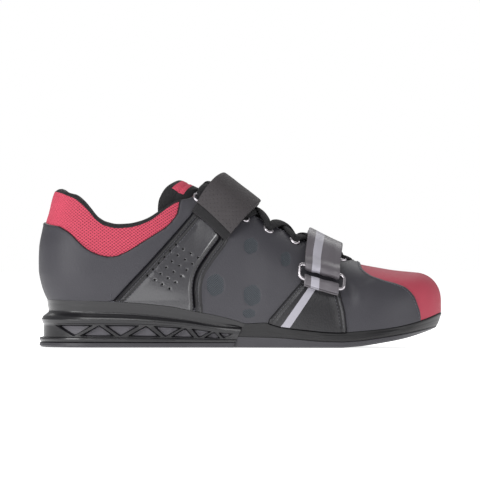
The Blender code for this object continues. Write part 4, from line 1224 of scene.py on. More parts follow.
def make_knit(looks):
    """Knit base of the upper: outer face, rolled collar edge and lining."""
    near_end = np.linspace(THROAT_END - 0.02, THROAT_END + 0.004, 13)
    along = np.unique(np.round(np.concatenate([along_of(np.linspace(0, 1, 190)), near_end]), 6))
    stretch = stretch_of(along)
    points, faces, chosen, flat = [], [], [], []
    count = len(along)
    out_steps = 1 - (1 - np.linspace(0, 1, 46)) ** 1.15
    roll = np.linspace(0, np.pi, 9)[1:-1]
    for side in (-1.0, 1.0):
        whole = arc_to(stretch, 2.0 + 0 * stretch)
        top_girth = open_girth(stretch, side)
        ridge = np.abs(top_girth - 1) < 1e-4
        top = arc_to(stretch, top_girth)
        if side > 0:
            top = whole - top
        thick = -1000 * padding(stretch, 1.0 + 0 * stretch)
        # Behind the throat the padded edge rolls over, so the knit stops short of the cut edge
        top = top - (0.45 * thick - 2.0) * np.clip((THROAT_TOP - 0.01 - along) / 0.04, 0, 1)
        grid = []
        rises = [(t * top, 0 * top) for t in out_steps]
        for turn in roll:
            out = np.where(ridge, 0, thick / 2 * np.sin(turn) * 0.9)
            rises.append((top + out, -thick / 2 * (1 - np.cos(turn))))
        for t in np.linspace(1, 0.0, 18):
            share = t * top
            girth = girth_to(stretch, share if side < 0 else whole - share)
            edge = top_girth if side < 0 else 2 - top_girth
            rise = np.clip((girth if side < 0 else 2 - girth) / np.maximum(edge, 1e-6), 0, 1)
            rises.append((share, 1000 * padding(stretch, rise)))
        start = sum(len(p) for p in points)
        for k, (arc, lift) in enumerate(rises):
            girth = girth_to(stretch, arc if side < 0 else whole - arc)
            inner = k >= len(out_steps) + len(roll)
            grid.append(lifted(stretch, girth, lift / 1000 + creased(stretch, girth)))
            walk = side * walk_of(stretch, side)
            flat.append(np.stack([walk, arc - (40 if inner else 0)], axis=-1))
        points.append(np.concatenate(grid))
        open_row = len(out_steps) - 1
        inner_row = len(out_steps) + len(roll)
        for k in range(len(rises) - 1):
            for j in range(count - 1):
                if open_row <= k < inner_row and ridge[j] and ridge[j + 1]:
                    continue
                a, b = start + k * count + j, start + (k + 1) * count + j
                face = (a, a + 1, b + 1, b)
                faces.append(face if side < 0 else face[::-1])
                if k < open_row - 1:
                    chosen.append(1 if along[j] > 0.70 else 0)
                elif k < inner_row:
                    chosen.append(2 if not ridge[j] else (1 if k < open_row else 3))
                else:
                    chosen.append(3)
    finishes = [looks["knit"], looks["toe_knit"], looks["tape"], looks["lining"]]
    closed_piece("upper_knit", np.concatenate(points), faces, chosen, finishes,
                 ("upper",), 60, np.concatenate(flat), 0.00002)


def side_outlines(side):
    """Seams of one side, ready as flat map points, lowest point first."""
    counter = until_open(*seam_path(SEAM_COUNTER, side), side)
    middle = until_open(*seam_path(SEAM_MIDDLE, side), side)
    along, height = SEAM_COUNTER[3]
    top = np.array([[along * LAST_LENGTH - HEEL_CENTRE], [height * COLLAR_HEIGHT]])
    return {
        "counter": as_map(counter, side), "counter_end": counter[0][-1],
        "panel": as_map(seam_path(SEAM_STRAP_PANEL, side), side),
        "middle": as_map(middle, side), "middle_end": middle[0][-1],
        "corner": as_map(from_side(*top, side), side)[0],
    }


def to_feather(line):
    """Bring a line's first point down to the feather line."""
    line = np.array(line)
    line[0, 1] = 0.0
    return line


def split_at(line, corner):
    """Split a line at its point nearest to a corner."""
    k = int(np.argmin(np.hypot(*(line - corner).T)))
    return line[:k + 1], line[k:]


def collar_line(side):
    """Lower edge of the bare knit collar, from the heel forward to the opening's edge."""
    height = np.array([COUNTER_EDGE[1][1] * COLLAR_HEIGHT])
    rise = girth_at_height(np.array([0.0]), side, height)
    rise = rise if side < 0 else 2 - rise
    first = to_map(np.array([0.0]), rise, side)
    along, rise = until_open(*seam_path(COUNTER_EDGE[2:], side), side)
    return np.concatenate([first, to_map(along, rise, side)]), along[-1]


def rows_of_holes(side):
    """Centres of the perforations of a strap panel, as flat map points."""
    first, step, row_step = np.array([HOLE_FIRST, HOLE_STEP, HOLE_ROW_STEP])
    return side_view([first + i * step + j * row_step for i in range(4) for j in range(6)], side)


# Mesh windows of the quarter: centre x and z and half sizes in mm, and their six corners
WINDOW_CORNERS = (
    (1.0, 0.45), (0.25, 1.0), (-1.0, 0.62), (-1.0, -0.45), (-0.25, -1.0), (1.0, -0.62),
)
WINDOWS_SIDE = (
    (158.0, 74.3, 5.0, 6.2), (183.7, 64.4, 3.6, 5.8), (132.0, 46.0, 6.2, 8.8),
    (159.3, 38.4, 6.2, 8.4), (157.0, 25.2, 4.6, 3.6),
)


def nearest(points, centres):
    """Distance of points to the nearest of some centres."""
    apart = points[:, None, :] - centres[None, :, :]
    return np.min(np.hypot(apart[..., 0], apart[..., 1]), axis=1)


def window_loops(side, grow=0.0):
    """Rounded six-sided windows of the quarter, as flat map loops."""
    loops = []
    for x, z, half_x, half_z in WINDOWS_SIDE:
        hx, hz = half_x + grow, half_z + grow
        corners = np.array(WINDOW_CORNERS) * (hx, hz) + (x, z)
        closed = np.concatenate([corners, corners[:1]])
        soft = []
        for a, b in zip(closed[:-1], closed[1:]):
            soft += [a * 0.82 + b * 0.18, a * 0.5 + b * 0.5, a * 0.18 + b * 0.82]
        loops.append(side_view(soft, side))
    return loops


def make_panels(looks):
    """Counter, strap panels, quarters, vamp and anchors, with their seams."""
    lines = {side: side_outlines(side) for side in (-1.0, 1.0)}
    collar, seams, threads = {}, {}, []
    for side in (-1.0, 1.0):
        collar[side], collar_end = collar_line(side)
        edge = as_map(edge_path(lines[side]["counter_end"], collar_end, side), side)
        seams[side] = (to_feather(lines[side]["counter"]), edge, collar[side])
    outer, inner = seams[-1.0], seams[1.0]
    outline = np.concatenate([
        outer[0], outer[1][1:-1], outer[2][::-1][:-1],
        inner[2], inner[1][::-1][1:-1], inner[0][::-1],
        feather_path(lines_at(inner[0]), 0.0, 1.0)[1:],
        feather_path(0.0, lines_at(outer[0]), -1.0)[1:-1],
    ])
    free = [outer[0], outer[1], outer[2], inner[2], inner[1], inner[0]]

    edges = (outer[2], inner[2])
    cover(
        "counter_cover", outline, free, [looks["smooth"], looks["anchor"]],
        ("heel_counter",), shape=lambda points: sum(
            beads(points, line, ((2.1, 0.9, 0.25),)) for line in edges),
        choose=lambda centres: (np.minimum(
            line_distance(centres, edges[0]), line_distance(centres, edges[1])) < 1.1).astype(int),
    )
    for side, word in ((-1.0, "outer"), (1.0, "inner")):
        part = lines[side]
        counter = to_feather(part["counter"])
        panel = to_feather(part["panel"])
        low_part, high_part = split_at(counter, part["corner"])
        back = feather_path(lines_at(panel), lines_at(counter), side)[1:-1]
        outline = np.concatenate([low_part, panel[::-1], back])
        holes = rows_of_holes(side)

        def pressed(points):
            total = beads(points, low_part, ((1.6, 1.4, 1.25), (4.6, 1.35, 0.95)))
            total = total + beads(points, panel, ((1.7, 1.4, 0.55),))
            return total - 1.1 * (1 - np.clip((nearest(points, holes) - 0.58) / 0.26, 0, 1))

        # Perforation floors get near black, painted shade; the bands beside the seams get the dark
        # anchor leather, which is the welts' own dark tone and also painted shade of the seam
        # grooves
        def painted_hole_and_welt_shade(centres):
            welts = line_distance(centres, low_part) < WELT_RINGS[-1]
            welts |= line_distance(centres, panel) < 3.1
            return np.where(nearest(centres, holes) < 0.72, 1, np.where(welts, 2, 0))

        cover("strap_panel_cover_" + word, outline, [low_part, panel],
              [looks["glossy"], looks["hole"], looks["anchor"]],
              ("strap_panel_" + word,), dots=hole_dots(holes, HOLE_RADIUS), shape=pressed,
              choose=painted_hole_and_welt_shade, spacing=1.3, rings=WELT_RINGS)
        threads += [shifted(low_part, 3.4, side), shifted(low_part, 6.4, side),
                    shifted(panel, -1.2, side)]
        middle = to_feather(part["middle"])
        edge = as_map(edge_path(part["counter_end"], part["middle_end"], side), side)
        back = feather_path(lines_at(middle), lines_at(panel), side)[1:-1]
        outline = np.concatenate([panel, high_part, edge[1:-1], middle[::-1], back])
        loops = window_loops(side)

        def dent(points):
            depth = np.zeros(len(points))
            for loop in loops:
                far = line_distance(points, loop, True)
                depth = depth - 0.35 * inside_loop(points, loop) * np.clip(far / 0.9, 0, 1)
            return depth + beads(points, panel, ((1.6, 1.4, 1.15), (4.6, 1.3, 0.80)))

        # Windows get the blue mesh; the band beside the strap panel's seam gets the dark anchor
        # leather, the welts' own dark tone and also painted shade of the seam grooves
        def windows_and_painted_welt_shade(centres):
            chosen = np.where(line_distance(centres, panel) < WELT_RINGS[-1], 2, 0)
            for loop in loops:
                chosen = np.where(inside_loop(centres, loop), 1, chosen)
            return chosen

        cover("quarter_cover_" + word, outline, [panel, high_part, edge],
              [looks["smooth"], looks["pores"], looks["anchor"]],
              ("quarter_" + word,), loops=loops + window_loops(side, -0.7), shape=dent,
              choose=windows_and_painted_welt_shade, rings=WELT_RINGS)
        threads += [shifted(panel, 1.4, side), shifted(panel, 3.4, side),
                    shifted(high_part, 1.4, side), shifted(edge, 2.2, side)]
    make_vamp(looks)
    make_anchors(looks)
    stitches("seam_threads", threads, LAYER, looks["thread"])


def lines_at(line):
    """Share of the length at a line's first point."""
    stretch, _ = from_map(np.array([line[0]]))
    return float(along_of(stretch)[0])


def shifted(line, distance, side):
    """Line moved sideways, towards the toe for a positive distance on a rising line."""
    line = np.asarray(line, float)
    return (line - left_of(np.gradient(line, axis=0)) * side * distance)[1:-1]


def strip_points(along, rise, side):
    """Strip points of a rise on one side."""
    return to_strip(along, rise if side < 0 else 2 - np.asarray(rise))


def make_vamp(looks):
    """Vamp panel over the ridge, round the throat's end and down to the toe edge."""
    seam, throat, toe, ends = {}, {}, {}, {}
    for side in (-1.0, 1.0):
        along, rise = until_open(*seam_path(SEAM_MIDDLE, side), side)
        toe_along, toe_rise = seam_path(TOE_EDGE, side, 1.5)
        toe_rise = np.clip(toe_rise, 0, 1)
        rise[0] = toe_rise[-1] = 0.0
        beside = np.linspace(along[-1], THROAT_END - 0.0004, 40)
        seam[side] = strip_points(along, rise, side)
        throat[side] = strip_points(beside, open_rise(beside, side), side)
        toe[side] = strip_points(toe_along, toe_rise, side)
        ends[side] = (along[0], toe_along[-1])
    low_inner = to_strip(np.linspace(*ends[1.0], 60), np.full(60, 2.0))
    low_outer = to_strip(np.linspace(*ends[-1.0][::-1], 60), np.zeros(60))
    outline = np.concatenate([
        seam[-1.0], throat[-1.0][1:], throat[1.0][::-1], seam[1.0][::-1][1:],
        low_inner[1:-1], toe[1.0][::-1], toe[-1.0][1:], low_outer[1:-1],
    ])
    toe_line = np.concatenate([toe[1.0][::-1], toe[-1.0][1:]])
    throat_line = np.concatenate([throat[-1.0], throat[1.0][::-1]])
    cover("vamp_cover", outline, [toe_line, throat_line], [looks["smooth"]],
          ("vamp_panel",), strip=True,
          shape=lambda points: beads(points, toe_line, ((1.6, 1.0, 0.22),)))
    lines = [inward(toe_line, 2.4, outline), inward(throat_line, 2.4, outline)]
    stitches("vamp_threads", lines, LAYER, looks["thread"], mapper=from_strip)


def inward(line, distance, outline):
    """Line moved into the outline."""
    line = along_edge(line, 1.5)
    turn = left_of(np.gradient(line, axis=0))
    moved = line + turn * distance
    if inside_loop(moved, outline).mean() < 0.5:
        moved = line - turn * distance
    keep = inside_loop(moved, outline) & (line_distance(moved, outline, True) > distance * 0.8)
    return moved[keep]


# Printed stripe of the outer anchor, in mm in the side view
STRIPE = ((201.4, 44.5), (207.6, 44.5), (187.4, 14.6), (180.6, 14.9))


def make_anchors(looks):
    """Glossy anchors of the front ring on both sides, with the printed stripe on the outer one."""
    for side, word, rows in ((-1.0, "outer", ANCHOR_OUTER), (1.0, "inner", ANCHOR_INNER)):
        along, rise = seam_path(rows, side, 1.6, 2.2)
        keep = rise > 0.004
        along, rise = along[keep], rise[keep]
        rise[0] = rise[-1] = 0.0
        line = to_map(along, rise, side)
        outline = np.concatenate([line, feather_path(along[-1], along[0], side)[1:-1]])
        stripe = side_view(even_loop(STRIPE, 3.0), side)
        welts = ((1.7, 1.4, 0.60), (5.0, 1.4, 0.40), (3.4, 0.8, -0.30))
        cover("anchor_cover_" + word, outline, [line], [looks["anchor"], looks["stripe"]],
              ("strap_anchor_" + word,), low=LAYER - 0.4, high=2 * LAYER,
              spacing=1.5, shape=lambda points: beads(points, line, welts),
              choose=lambda centres: (inside_loop(centres, stripe) & (side < 0)).astype(int),
              loops=[stripe] if side < 0 else (), rings=WELT_RINGS)
        rows_at = [inward(line, 2.4, outline), inward(line, 4.8, outline)]
        stitches("anchor_threads_" + word, rows_at, 2 * LAYER, looks["thread"])


# Knit patch of the tongue: its near and far end from the top edge and its half width, in mm
TONGUE_PATCH = (2.6, 10.5, 30.0)


def make_tongue_cover(looks):
    """Padded tongue with a bound top edge and a knit patch under it."""
    columns = 49
    spans = np.linspace(-1, 1, columns)[None, :]
    rows = np.concatenate([np.linspace(0, 0.14, 26), np.linspace(0.15, 1, 64)])[:, None]
    top = TONGUE_TOP - TONGUE_BACK * (1 - (1 - spans**2) ** 2.4)
    along = top + (THROAT_END + 0.02 - top) * rows
    reach = curve(((0.0, 0.51), (0.12, 0.50), (0.30, 0.45), (0.60, 0.34), (1.0, 0.22)), rows)
    girth = 1 + spans * reach
    stretch = stretch_of(along)
    side = np.where(spans < 0, -1.0, 1.0) + 0 * rows
    edge = open_girth(stretch, side)
    rises = np.clip(np.where(side < 0, girth / edge, (2 - girth) / (2 - edge)), 0, 1)
    near = np.where(side < 0, edge, 2 - edge)
    open_width = np.maximum(1 - near, 0.001)
    inside = np.clip(2.5 * (np.minimum(girth, 2 - girth) - near) / open_width, 0, 1)
    lip = np.clip((THROAT_TOP + 0.06 - along) / 0.10, 0, 1) * inside**2
    depth = padding(stretch, rises) - TONGUE_CLEARANCE + TONGUE_RISE * lip * (3 - 2 * inside)
    depth = depth + TONGUE_CROWN * inside**2
    depth = depth + 0.0040 * inside**2 * np.clip((rows - 0.12) * 8, 0, 1)
    sides = np.clip(1 - np.abs(spans) ** 6, 0.35, 1)
    full = TONGUE_THICKNESS * (1 - 0.45 * rows) * sides
    walk = rows * 0.43 * LAST_LENGTH * 1000
    roll = rounded(walk + 0.25, 4.5) * rounded(25 * (1 - np.abs(spans)) + 0.25, 3.0)
    seam_line = bump_line(np.abs(walk - 7.5), 1.4, 0.45) * 0.001
    outer = lifted(stretch, girth, depth - full * (1 - roll) * 0.5 - seam_line)
    inner = lifted(stretch, girth, depth - full * (1 + roll) * 0.5)
    count = outer.shape[0]
    points = np.concatenate([outer.reshape(-1, 3), inner.reshape(-1, 3)])
    faces = grid_faces(count, columns)
    faces += [f[::-1] for f in grid_faces(count, columns, start=count * columns)]
    shift = count * columns
    for j in range(columns - 1):
        faces.append((j + 1, j, shift + j, shift + j + 1))
        a = (count - 1) * columns + j
        faces.append((a, a + 1, shift + a + 1, shift + a))
    for i in range(count - 1):
        a, b = i * columns, (i + 1) * columns
        faces.append((a, b, shift + b, shift + a))
        a, b = a + columns - 1, b + columns - 1
        faces.append((b, a, shift + a, shift + b))
    flat_a = 1000 * (spans * reach) * 0.11 + 0 * rows
    flat = np.stack([flat_a, walk + 0 * spans], axis=-1).reshape(-1, 2)
    flat = np.concatenate([flat, flat + (0.0, 200.0)])
    middles = np.array([flat[list(f)].mean(axis=0) for f in faces])
    low, high, half = TONGUE_PATCH
    patch = (middles[:, 1] > low) & (middles[:, 1] < high) & (np.abs(middles[:, 0]) < half)
    mesh = mesh_of("tongue_cover", points, faces, patch, flat)
    turn_outwards(mesh)
    piece = link("tongue_cover", mesh, [looks["tape"], looks["knit"]], ("tongue",), 70)


# Distance in mm between the two faces of a strap in its flat map
UNDERSIDE_SHIFT = 60.0


def strap_mesh(name, place, slant, width, run, lift, tilt, finishes, replaced, ridges=(),
               stripe=None, under=0.0, folds=0.12):
    """Strap with rounded edges. ridges raise lines across it near its free end; under is the
    length of its anchored end, painted near black as the shade under the free tail, and folds
    the height of its soft waves, in mm."""
    du, dh = np.gradient(run), np.gradient(lift)
    size = np.hypot(du, dh)
    nu, nh = -dh / size, du / size
    walk = np.concatenate([[0], np.cumsum(np.hypot(np.diff(run), np.diff(lift)))]) * 1000
    share = np.linspace(-0.5, 0.5, 27)
    bent = np.sign(share) * (np.abs(share) * 2) ** 0.8 / 2
    columns = bent[None, :] * width
    away = (width / 2 - np.abs(columns)) * 1000
    ends = np.minimum(walk, walk[-1] - walk)[:, None]
    soft = rounded(away + 0.12, 1.0) * rounded(ends + 0.15, 1.0)
    raised = np.zeros(len(walk))
    for place_at in ridges:
        raised = raised + bump_line(np.abs(walk[-1] - walk - place_at), 0.9, 0.35)
    waves = 0.10 * np.sin(walk[:, None] / 6.0) * np.cos(columns * 260)
    beside = np.clip(np.abs(run[:, None]) * 1000 / 12 - 0.8, 0, 1)
    waves = waves + folds * beside * np.sin(columns * 640 + 0.7 * np.sin(walk[:, None] / 11.0))
    grids = []
    for half in (1.0, -1.0):
        thick = STRAP_THICKNESS / 2 * half * soft
        extra = waves * 0.001
        if half > 0:
            extra = (raised[:, None] * np.clip(away / 2 - 0.5, 0, 1) + waves) * 0.001
        u = run[:, None] + nu[:, None] * (thick + extra)
        h = lift[:, None] + nh[:, None] * (thick + extra)
        h = h + tilt * over_throat(run)[:, None] * (0.5 - columns / width)
        grids.append(strap_point(place, slant, u, columns + 0 * u, h))
    high, wide = grids[0].shape[:2]
    points = np.concatenate([g.reshape(-1, 3) for g in grids])
    shift = high * wide
    faces = grid_faces(high, wide) + [f[::-1] for f in grid_faces(high, wide, start=shift)]
    border = list(range(wide)) + [i * wide + wide - 1 for i in range(1, high)]
    border += [(high - 1) * wide + j for j in range(wide - 2, -1, -1)]
    border += [i * wide for i in range(high - 2, 0, -1)]
    first_of_edge = len(faces)
    for here, there in zip(border, border[1:] + border[:1]):
        faces.append((there, here, here + shift, there + shift))
    flat = np.stack(np.broadcast_arrays(walk[:, None], columns * 1000), axis=-1).reshape(-1, 2)
    flat = np.concatenate([flat, flat + (0.0, UNDERSIDE_SHIFT)])
    chosen = []
    for k, f in enumerate(faces):
        middle = flat[list(f)].mean(axis=0)
        lower = UNDERSIDE_SHIFT if middle[1] > UNDERSIDE_SHIFT / 2 else 0
        if k >= first_of_edge:
            chosen.append(1)
        # The anchored end gets black tape: painted shade under the strap's free tail
        elif middle[0] < under:
            chosen.append(3)
        elif stripe and stripe[0] < middle[1] - lower < stripe[1]:
            chosen.append(2)
        else:
            chosen.append(0)
    mesh = mesh_of(name, points, faces, chosen, flat)
    turn_outwards(mesh)
    link(name, mesh, finishes, replaced, 55)


def ring_mesh(name, place, slant, centre, width, low, looks, replaced):
    """Bent wire ring with round bars and bends."""
    half_long = width / 2 + RING_SIDE + RING_BAR / 2
    half_high = (RING_HEIGHT - RING_BAR) / 2
    corner = RING_BAR * 1.15
    path = []
    for cx, cu, start in ((1, 1, 0), (-1, 1, 1), (-1, -1, 2), (1, -1, 3)):
        for k in range(9):
            turn = (start + k / 8) * math.pi / 2
            path.append((cx * (half_long - corner) + corner * math.cos(turn),
                         cu * (half_high - corner) + corner * math.sin(turn)))
        if start in (0, 2):
            for k in range(1, 16):
                path.append((cx * (half_long - corner) * (1 - 2 * k / 16), cu * half_high))
    path = np.array(path)
    run = centre + path[:, 1]
    middle = strap_point(place, slant, run, path[:, 0], low(run))
    points, faces = tube(middle, RING_BAR / 2, 12, closed=True)
    mesh = mesh_of(name, points, faces)
    turn_outwards(mesh)
    link(name, mesh, [looks["wire"]], replaced, 180)


def dense_profile(anchor, bar, tail, low, space, tight, facing, steps):
    """Finely stepped centre line of a folded strap."""
    turns = np.linspace(-np.pi / 2, np.pi / 2, 17)
    radius = space / 2
    first, second = np.linspace(anchor, bar, steps), np.linspace(bar, tail, steps)
    bend = bar + facing * radius * np.cos(turns[1:-1])
    rise = radius + radius * np.sin(turns[1:-1])
    run = np.concatenate([first, bend, second])
    fade = np.clip(1 - np.abs(second - bar) / FOLD_REACH, 0, 1)
    extra = np.concatenate([0 * first, rise, tight + (space - tight) * eased(fade)])
    return run, low(run) + extra


def dress_strap(looks, name, finish, place, slant, width, anchor, ring_at, tail, throat_lift,
                skin_lift, tilt, ridges, stripe, under, folds):
    """One strap with its ring and the ring's tab."""
    facing = math.copysign(1.0, ring_at)
    space = RING_BAR + STRAP_THICKNESS + 2 * GAP
    bar = (RING_HEIGHT - RING_BAR) / 2
    side_lift = skin_lift + GAP + STRAP_THICKNESS / 2
    tight = STRAP_THICKNESS + GAP

    def low(run):
        return side_lift + (throat_lift - side_lift) * over_throat(run)

    near_bar = ring_at - facing * bar
    run, lift = dense_profile(anchor, near_bar, tail, low, space, tight, facing, 70)
    # The fourth finish, black tape, is painted shade on the anchored end under the tail
    finishes = [looks[finish], looks["strap_edge"], looks["stripe"], looks["tape"]]
    strap_mesh(name + "_cover", place, slant, width, run, lift, tilt, finishes, (name,), ridges,
               stripe, under, folds)
    ring_mesh(name + "_ring_wire", place, slant, ring_at, width, lambda r: low(r) + space / 2,
              looks, (name + "_ring",))
    far_bar = ring_at + facing * bar
    end = far_bar + facing * TAB_LENGTH
    run, lift = dense_profile(end, far_bar, end, low, space, tight, -facing, 18)
    strap_mesh(name + "_tab_cover", place, slant, width, run, lift, 0.0, finishes,
               (name + "_tab",), (), stripe)


def make_strap_covers(looks):
    """Both straps."""
    skin_lift = GAP + OVERLAY
    laces = skin_lift + EYELET_PROUD + GAP + LACE_CLEARANCE + LACE_THICKNESS + LACE_STAGGER
    laces = laces + GAP + STRAP_THICKNESS / 2 + STRAP_CLEARANCE
    dress_strap(
        looks, "front_strap", "strap_coated", FRONT_STRAP_PLACE, 0.0, FRONT_STRAP_WIDTH,
        FRONT_ANCHOR_REACH, -FRONT_RING_REACH, FRONT_TAIL_REACH, laces - 0.0008,
        skin_lift + GAP + OVERLAY, tilt=0.0, ridges=(), stripe=(-7.4, -2.2), under=0.0, folds=0.28,
    )
    # The top strap's first 13 mm, under its free tail, is painted near black as shade
    dress_strap(
        looks, "top_strap", "strap", TOP_STRAP_PLACE, TOP_STRAP_SLANT, TOP_STRAP_WIDTH,
        -TOP_ANCHOR_REACH, TOP_RING_REACH, -TOP_TAIL_REACH, laces, skin_lift, tilt=TOP_STRAP_BOW,
        ridges=(2.4, 4.6, 6.8), stripe=None, under=13.0, folds=0.0,
    )


def make_eyelet_rings(looks):
    """Turned eyelets, each a domed ring over a floor painted near black as the shade inside it."""
    turns = np.linspace(0, 2 * np.pi, 28, endpoint=False)
    low = GAP + OVERLAY
    mid = (EYELET_HOLE + EYELET_RIM) / 2
    half = (EYELET_RIM - EYELET_HOLE) / 2 + 0.00025
    profile = []
    for t in np.linspace(0, math.pi, 8):
        dome = low + 0.0001 + (EYELET_PROUD + 0.0001) * max(math.sin(t), 0) ** 0.8
        profile.append((mid + half * math.cos(t), dome))
    floor = low + 0.00002
    profile += [(EYELET_HOLE - 0.0001, low - 0.0004), (EYELET_HOLE * 0.5, floor), (0.00005, floor)]
    for row, along, arc in eyelet_places():
        rings = []
        for radius, lift in profile:
            x = along + radius * np.cos(turns) / LAST_LENGTH
            rings.append(on_upper(x, arc + radius * np.sin(turns), lift))
        points = np.concatenate(rings)
        faces = grid_faces(len(profile), len(turns), closed=True)
        # Inner wall and floor are painted near black: painted shade inside each eyelet
        chosen = [0 if i // len(turns) < 7 else 1 for i in range(len(faces))]
        side = "outer" if arc < 0 else "inner"
        name = "eyelet_" + side + "_" + str(row + 1)
        mesh = mesh_of(name + "_ring", points, faces, chosen)
        normals = np.array([p.normal for p in mesh.polygons])
        middle = on_upper(np.array([along]), np.array([arc]), 0.0)[0]
        top = on_upper(np.array([along]), np.array([arc]), 0.01)[0]
        if np.sum(normals @ (top - middle)) < 0:
            mesh.flip_normals()
        link(name + "_ring", mesh, [looks["wire"], looks["hole"]], (name,), 60)


def on_upper(along, arc, lift):
    """Point above the upper at a share of the length, an arc from the ridge and a lift."""
    return lifted(stretch_of(along), girth_of_arc(along, arc), lift)


def lace_band(path, widths, thick, lifts):
    """Flat woven band along a path of share-of-length and arc, in metres."""
    centres = path * np.array([LAST_LENGTH, 1.0])
    across = -left_of(np.gradient(centres, axis=0))
    turns = np.linspace(0, 2 * np.pi, 16, endpoint=False)
    rings = []
    for t in turns:
        w = np.sign(math.cos(t)) * abs(math.cos(t)) ** 0.7 * 0.5
        h = np.sign(math.sin(t)) * abs(math.sin(t)) ** 0.7 * 0.5
        place = centres + across * (w * widths)[:, None]
        curl = 0.0006 * (2 * w) ** 2
        rings.append(on_upper(place[:, 0] / LAST_LENGTH, place[:, 1], lifts + h * thick - curl))
    rings = np.stack(rings, axis=1)
    count, sides = rings.shape[:2]
    faces = grid_faces(count, sides, closed=True)
    faces += [tuple(range(sides))[::-1], tuple((count - 1) * sides + k for k in range(sides))]
    walk = 1000 * np.concatenate([[0], np.cumsum(np.hypot(*np.diff(centres, axis=0).T))])
    flat_b = np.array([math.cos(t) * 3.1 + (8 if math.sin(t) < 0 else 0) for t in turns])
    flat = np.stack([np.repeat(walk, sides), np.tile(flat_b, count)], axis=-1)
    return rings.reshape(-1, 3), faces, flat


def make_lace_bands(looks):
    """Crossed flat laces from the top eyelets down, and the bar that joins the lowest two."""
    places = {(row, arc > 0): (along, arc) for row, along, arc in eyelet_places()}
    base = GAP + OVERLAY + GAP + EYELET_PROUD + LACE_CLEARANCE * 0.4
    steps = np.linspace(0, 1, 29)
    parts, flats, spans = [], [], []
    for row in range(len(EYELET_ROWS) - 1):
        for start in (False, True):
            side = start if row % 2 == 0 else not start
            spans.append((places[(row, side)], places[(row + 1, not side)], start, 0.0))
    last = len(EYELET_ROWS) - 1
    spans.append((places[(last, False)], places[(last, True)], False, 0.017))
    for here, there, start, bow in spans:
        path = np.outer(1 - steps, here) + np.outer(steps, there)
        path[:, 0] += bow * np.sin(np.pi * steps)
        end = np.minimum(steps, 1 - steps)
        rise = eased(np.clip(end / 0.085, 0, 1))
        hump = np.sin(np.pi * steps)
        over = (LACE_STAGGER + 0.0011) * (1.0 if start else 0.0) * hump**0.6
        lifts = base - 0.0030 * (1 - rise) - (0.0016 if bow else 0.0005) * hump + over
        widths = 0.0034 + (LACE_WIDTH + 0.0008 - 0.0034) * np.clip(end / 0.2, 0, 1) ** 0.7
        points, faces, flat = lace_band(path, widths, 0.0017, lifts + 0.0008)
        parts.append((points, faces))
        flats.append(flat + (np.random.default_rng(len(parts)).random(), 0))
    points, faces = joined(parts)
    mesh = mesh_of("lace_crossings", points, faces, None, np.concatenate(flats))
    turn_outwards(mesh)
    link("lace_crossings", mesh, [looks["lace"]], ("laces",), 50)


def slid(along, height, heel):
    """Shares of the length moved forward with height, so that the sole's joint leans."""
    lean = JOINT_SLANT * height / LAST_LENGTH
    if heel:
        return along * (1 + lean / SOLE_JOINT)
    return along + lean * (1 - along) / (1 - SOLE_JOINT)


def level_rows(levels, along, steps, heel):
    """Shares of the length, heights and outward offsets of a wall: levels joined by short curves.
    Each level is a height, an offset, and how the line to the next one bends."""
    rows = []
    for k in range(len(levels) - 1):
        (z0, o0, soft), (z1, o1, _) = levels[k], levels[k + 1]
        last = k == len(levels) - 2
        for i in range(steps[k] + (1 if last else 0)):
            t = i / steps[k]
            share = eased(t) if soft == 1 else (t * t if soft == 2 else t)
            moved = slid(along, z0(along) * (1 - t) + z1(along) * t, heel)
            height = z0(moved) * (1 - t) + z1(moved) * t
            rows.append((moved, height, o0(moved) * (1 - share) + o1(moved) * share))
    return rows


def wall_columns(first, last, count):
    """Stretch and side of the columns round one end of the sole, outer side first."""
    reach = np.linspace(first, last, count)
    stretch = np.concatenate([reach, reach[::-1][1:]])
    side = np.concatenate([np.full(count, -1.0), np.full(count - 1, 1.0)])
    return stretch, side


def wall_points(stretch, side, height, out):
    """Points of a wall line."""
    points = np.empty((len(stretch), 3))
    for which in (-1.0, 1.0):
        mask = side == which
        x, y = feather(stretch[mask], which)
        nx, ny = plan_normal(stretch[mask], which)
        points[mask] = np.stack([x + nx * out[mask], y + ny * out[mask], height[mask]], axis=-1)
    return points


def cap_faces(start, count, up):
    """Quads between the two halves of a line of columns, mirrored about its middle."""
    faces = []
    for i in range(count // 2):
        j = count - 1 - i
        if j - 1 > i + 1:
            face = (start + i, start + i + 1, start + j - 1, start + j)
        else:
            face = (start + i, start + i + 1, start + j)
        faces.append(face[::-1] if up else face)
    return faces


def end_face(rows, count):
    """Flat face across the two ends of a wall's rows."""
    first = [k * count for k in range(rows)]
    return tuple(first + [k + count - 1 for k in reversed(first)])


def lofted(columns, levels, steps, tread=None):
    """Closed sole body from its wall levels, with flat ends. tread shapes its underside."""
    stretch, side = columns
    rows = level_rows(levels, along_of(stretch), steps, stretch[len(stretch) // 2] < 0.5)
    points = [wall_points(stretch_of(a), side, z, o) for a, z, o in rows]
    count = len(stretch)
    faces = grid_faces(len(rows), count)
    faces += cap_faces((len(rows) - 1) * count, count, False)
    points = np.concatenate(points)
    faces.append(end_face(len(rows), count))
    if tread is None:
        faces += cap_faces(0, count, True)
        return points, faces
    half = (count + 1) // 2
    across = np.linspace(0, 1, 33)[1:-1]
    start = len(points)
    extra, index = [], np.zeros((half, 33), int)
    for i in range(half):
        j = count - 1 - i
        index[i, 0], index[i, -1] = i, j
        a, b = points[i], points[j]
        for k, t in enumerate(across):
            index[i, k + 1] = start + len(extra)
            p = a * (1 - t) + b * t
            extra.append(p + np.array([0.0, 0.0, tread(p, a, b)]))
    for i in range(half - 1):
        for k in range(32):
            quad = (index[i, k], index[i, k + 1], index[i + 1, k + 1], index[i + 1, k])
            if i == half - 2:
                quad = (index[i, k], index[i, k + 1], index[i + 1, 0])
            faces.append(tuple(int(q) for q in quad))
    return np.concatenate([points, np.array(extra)]), faces


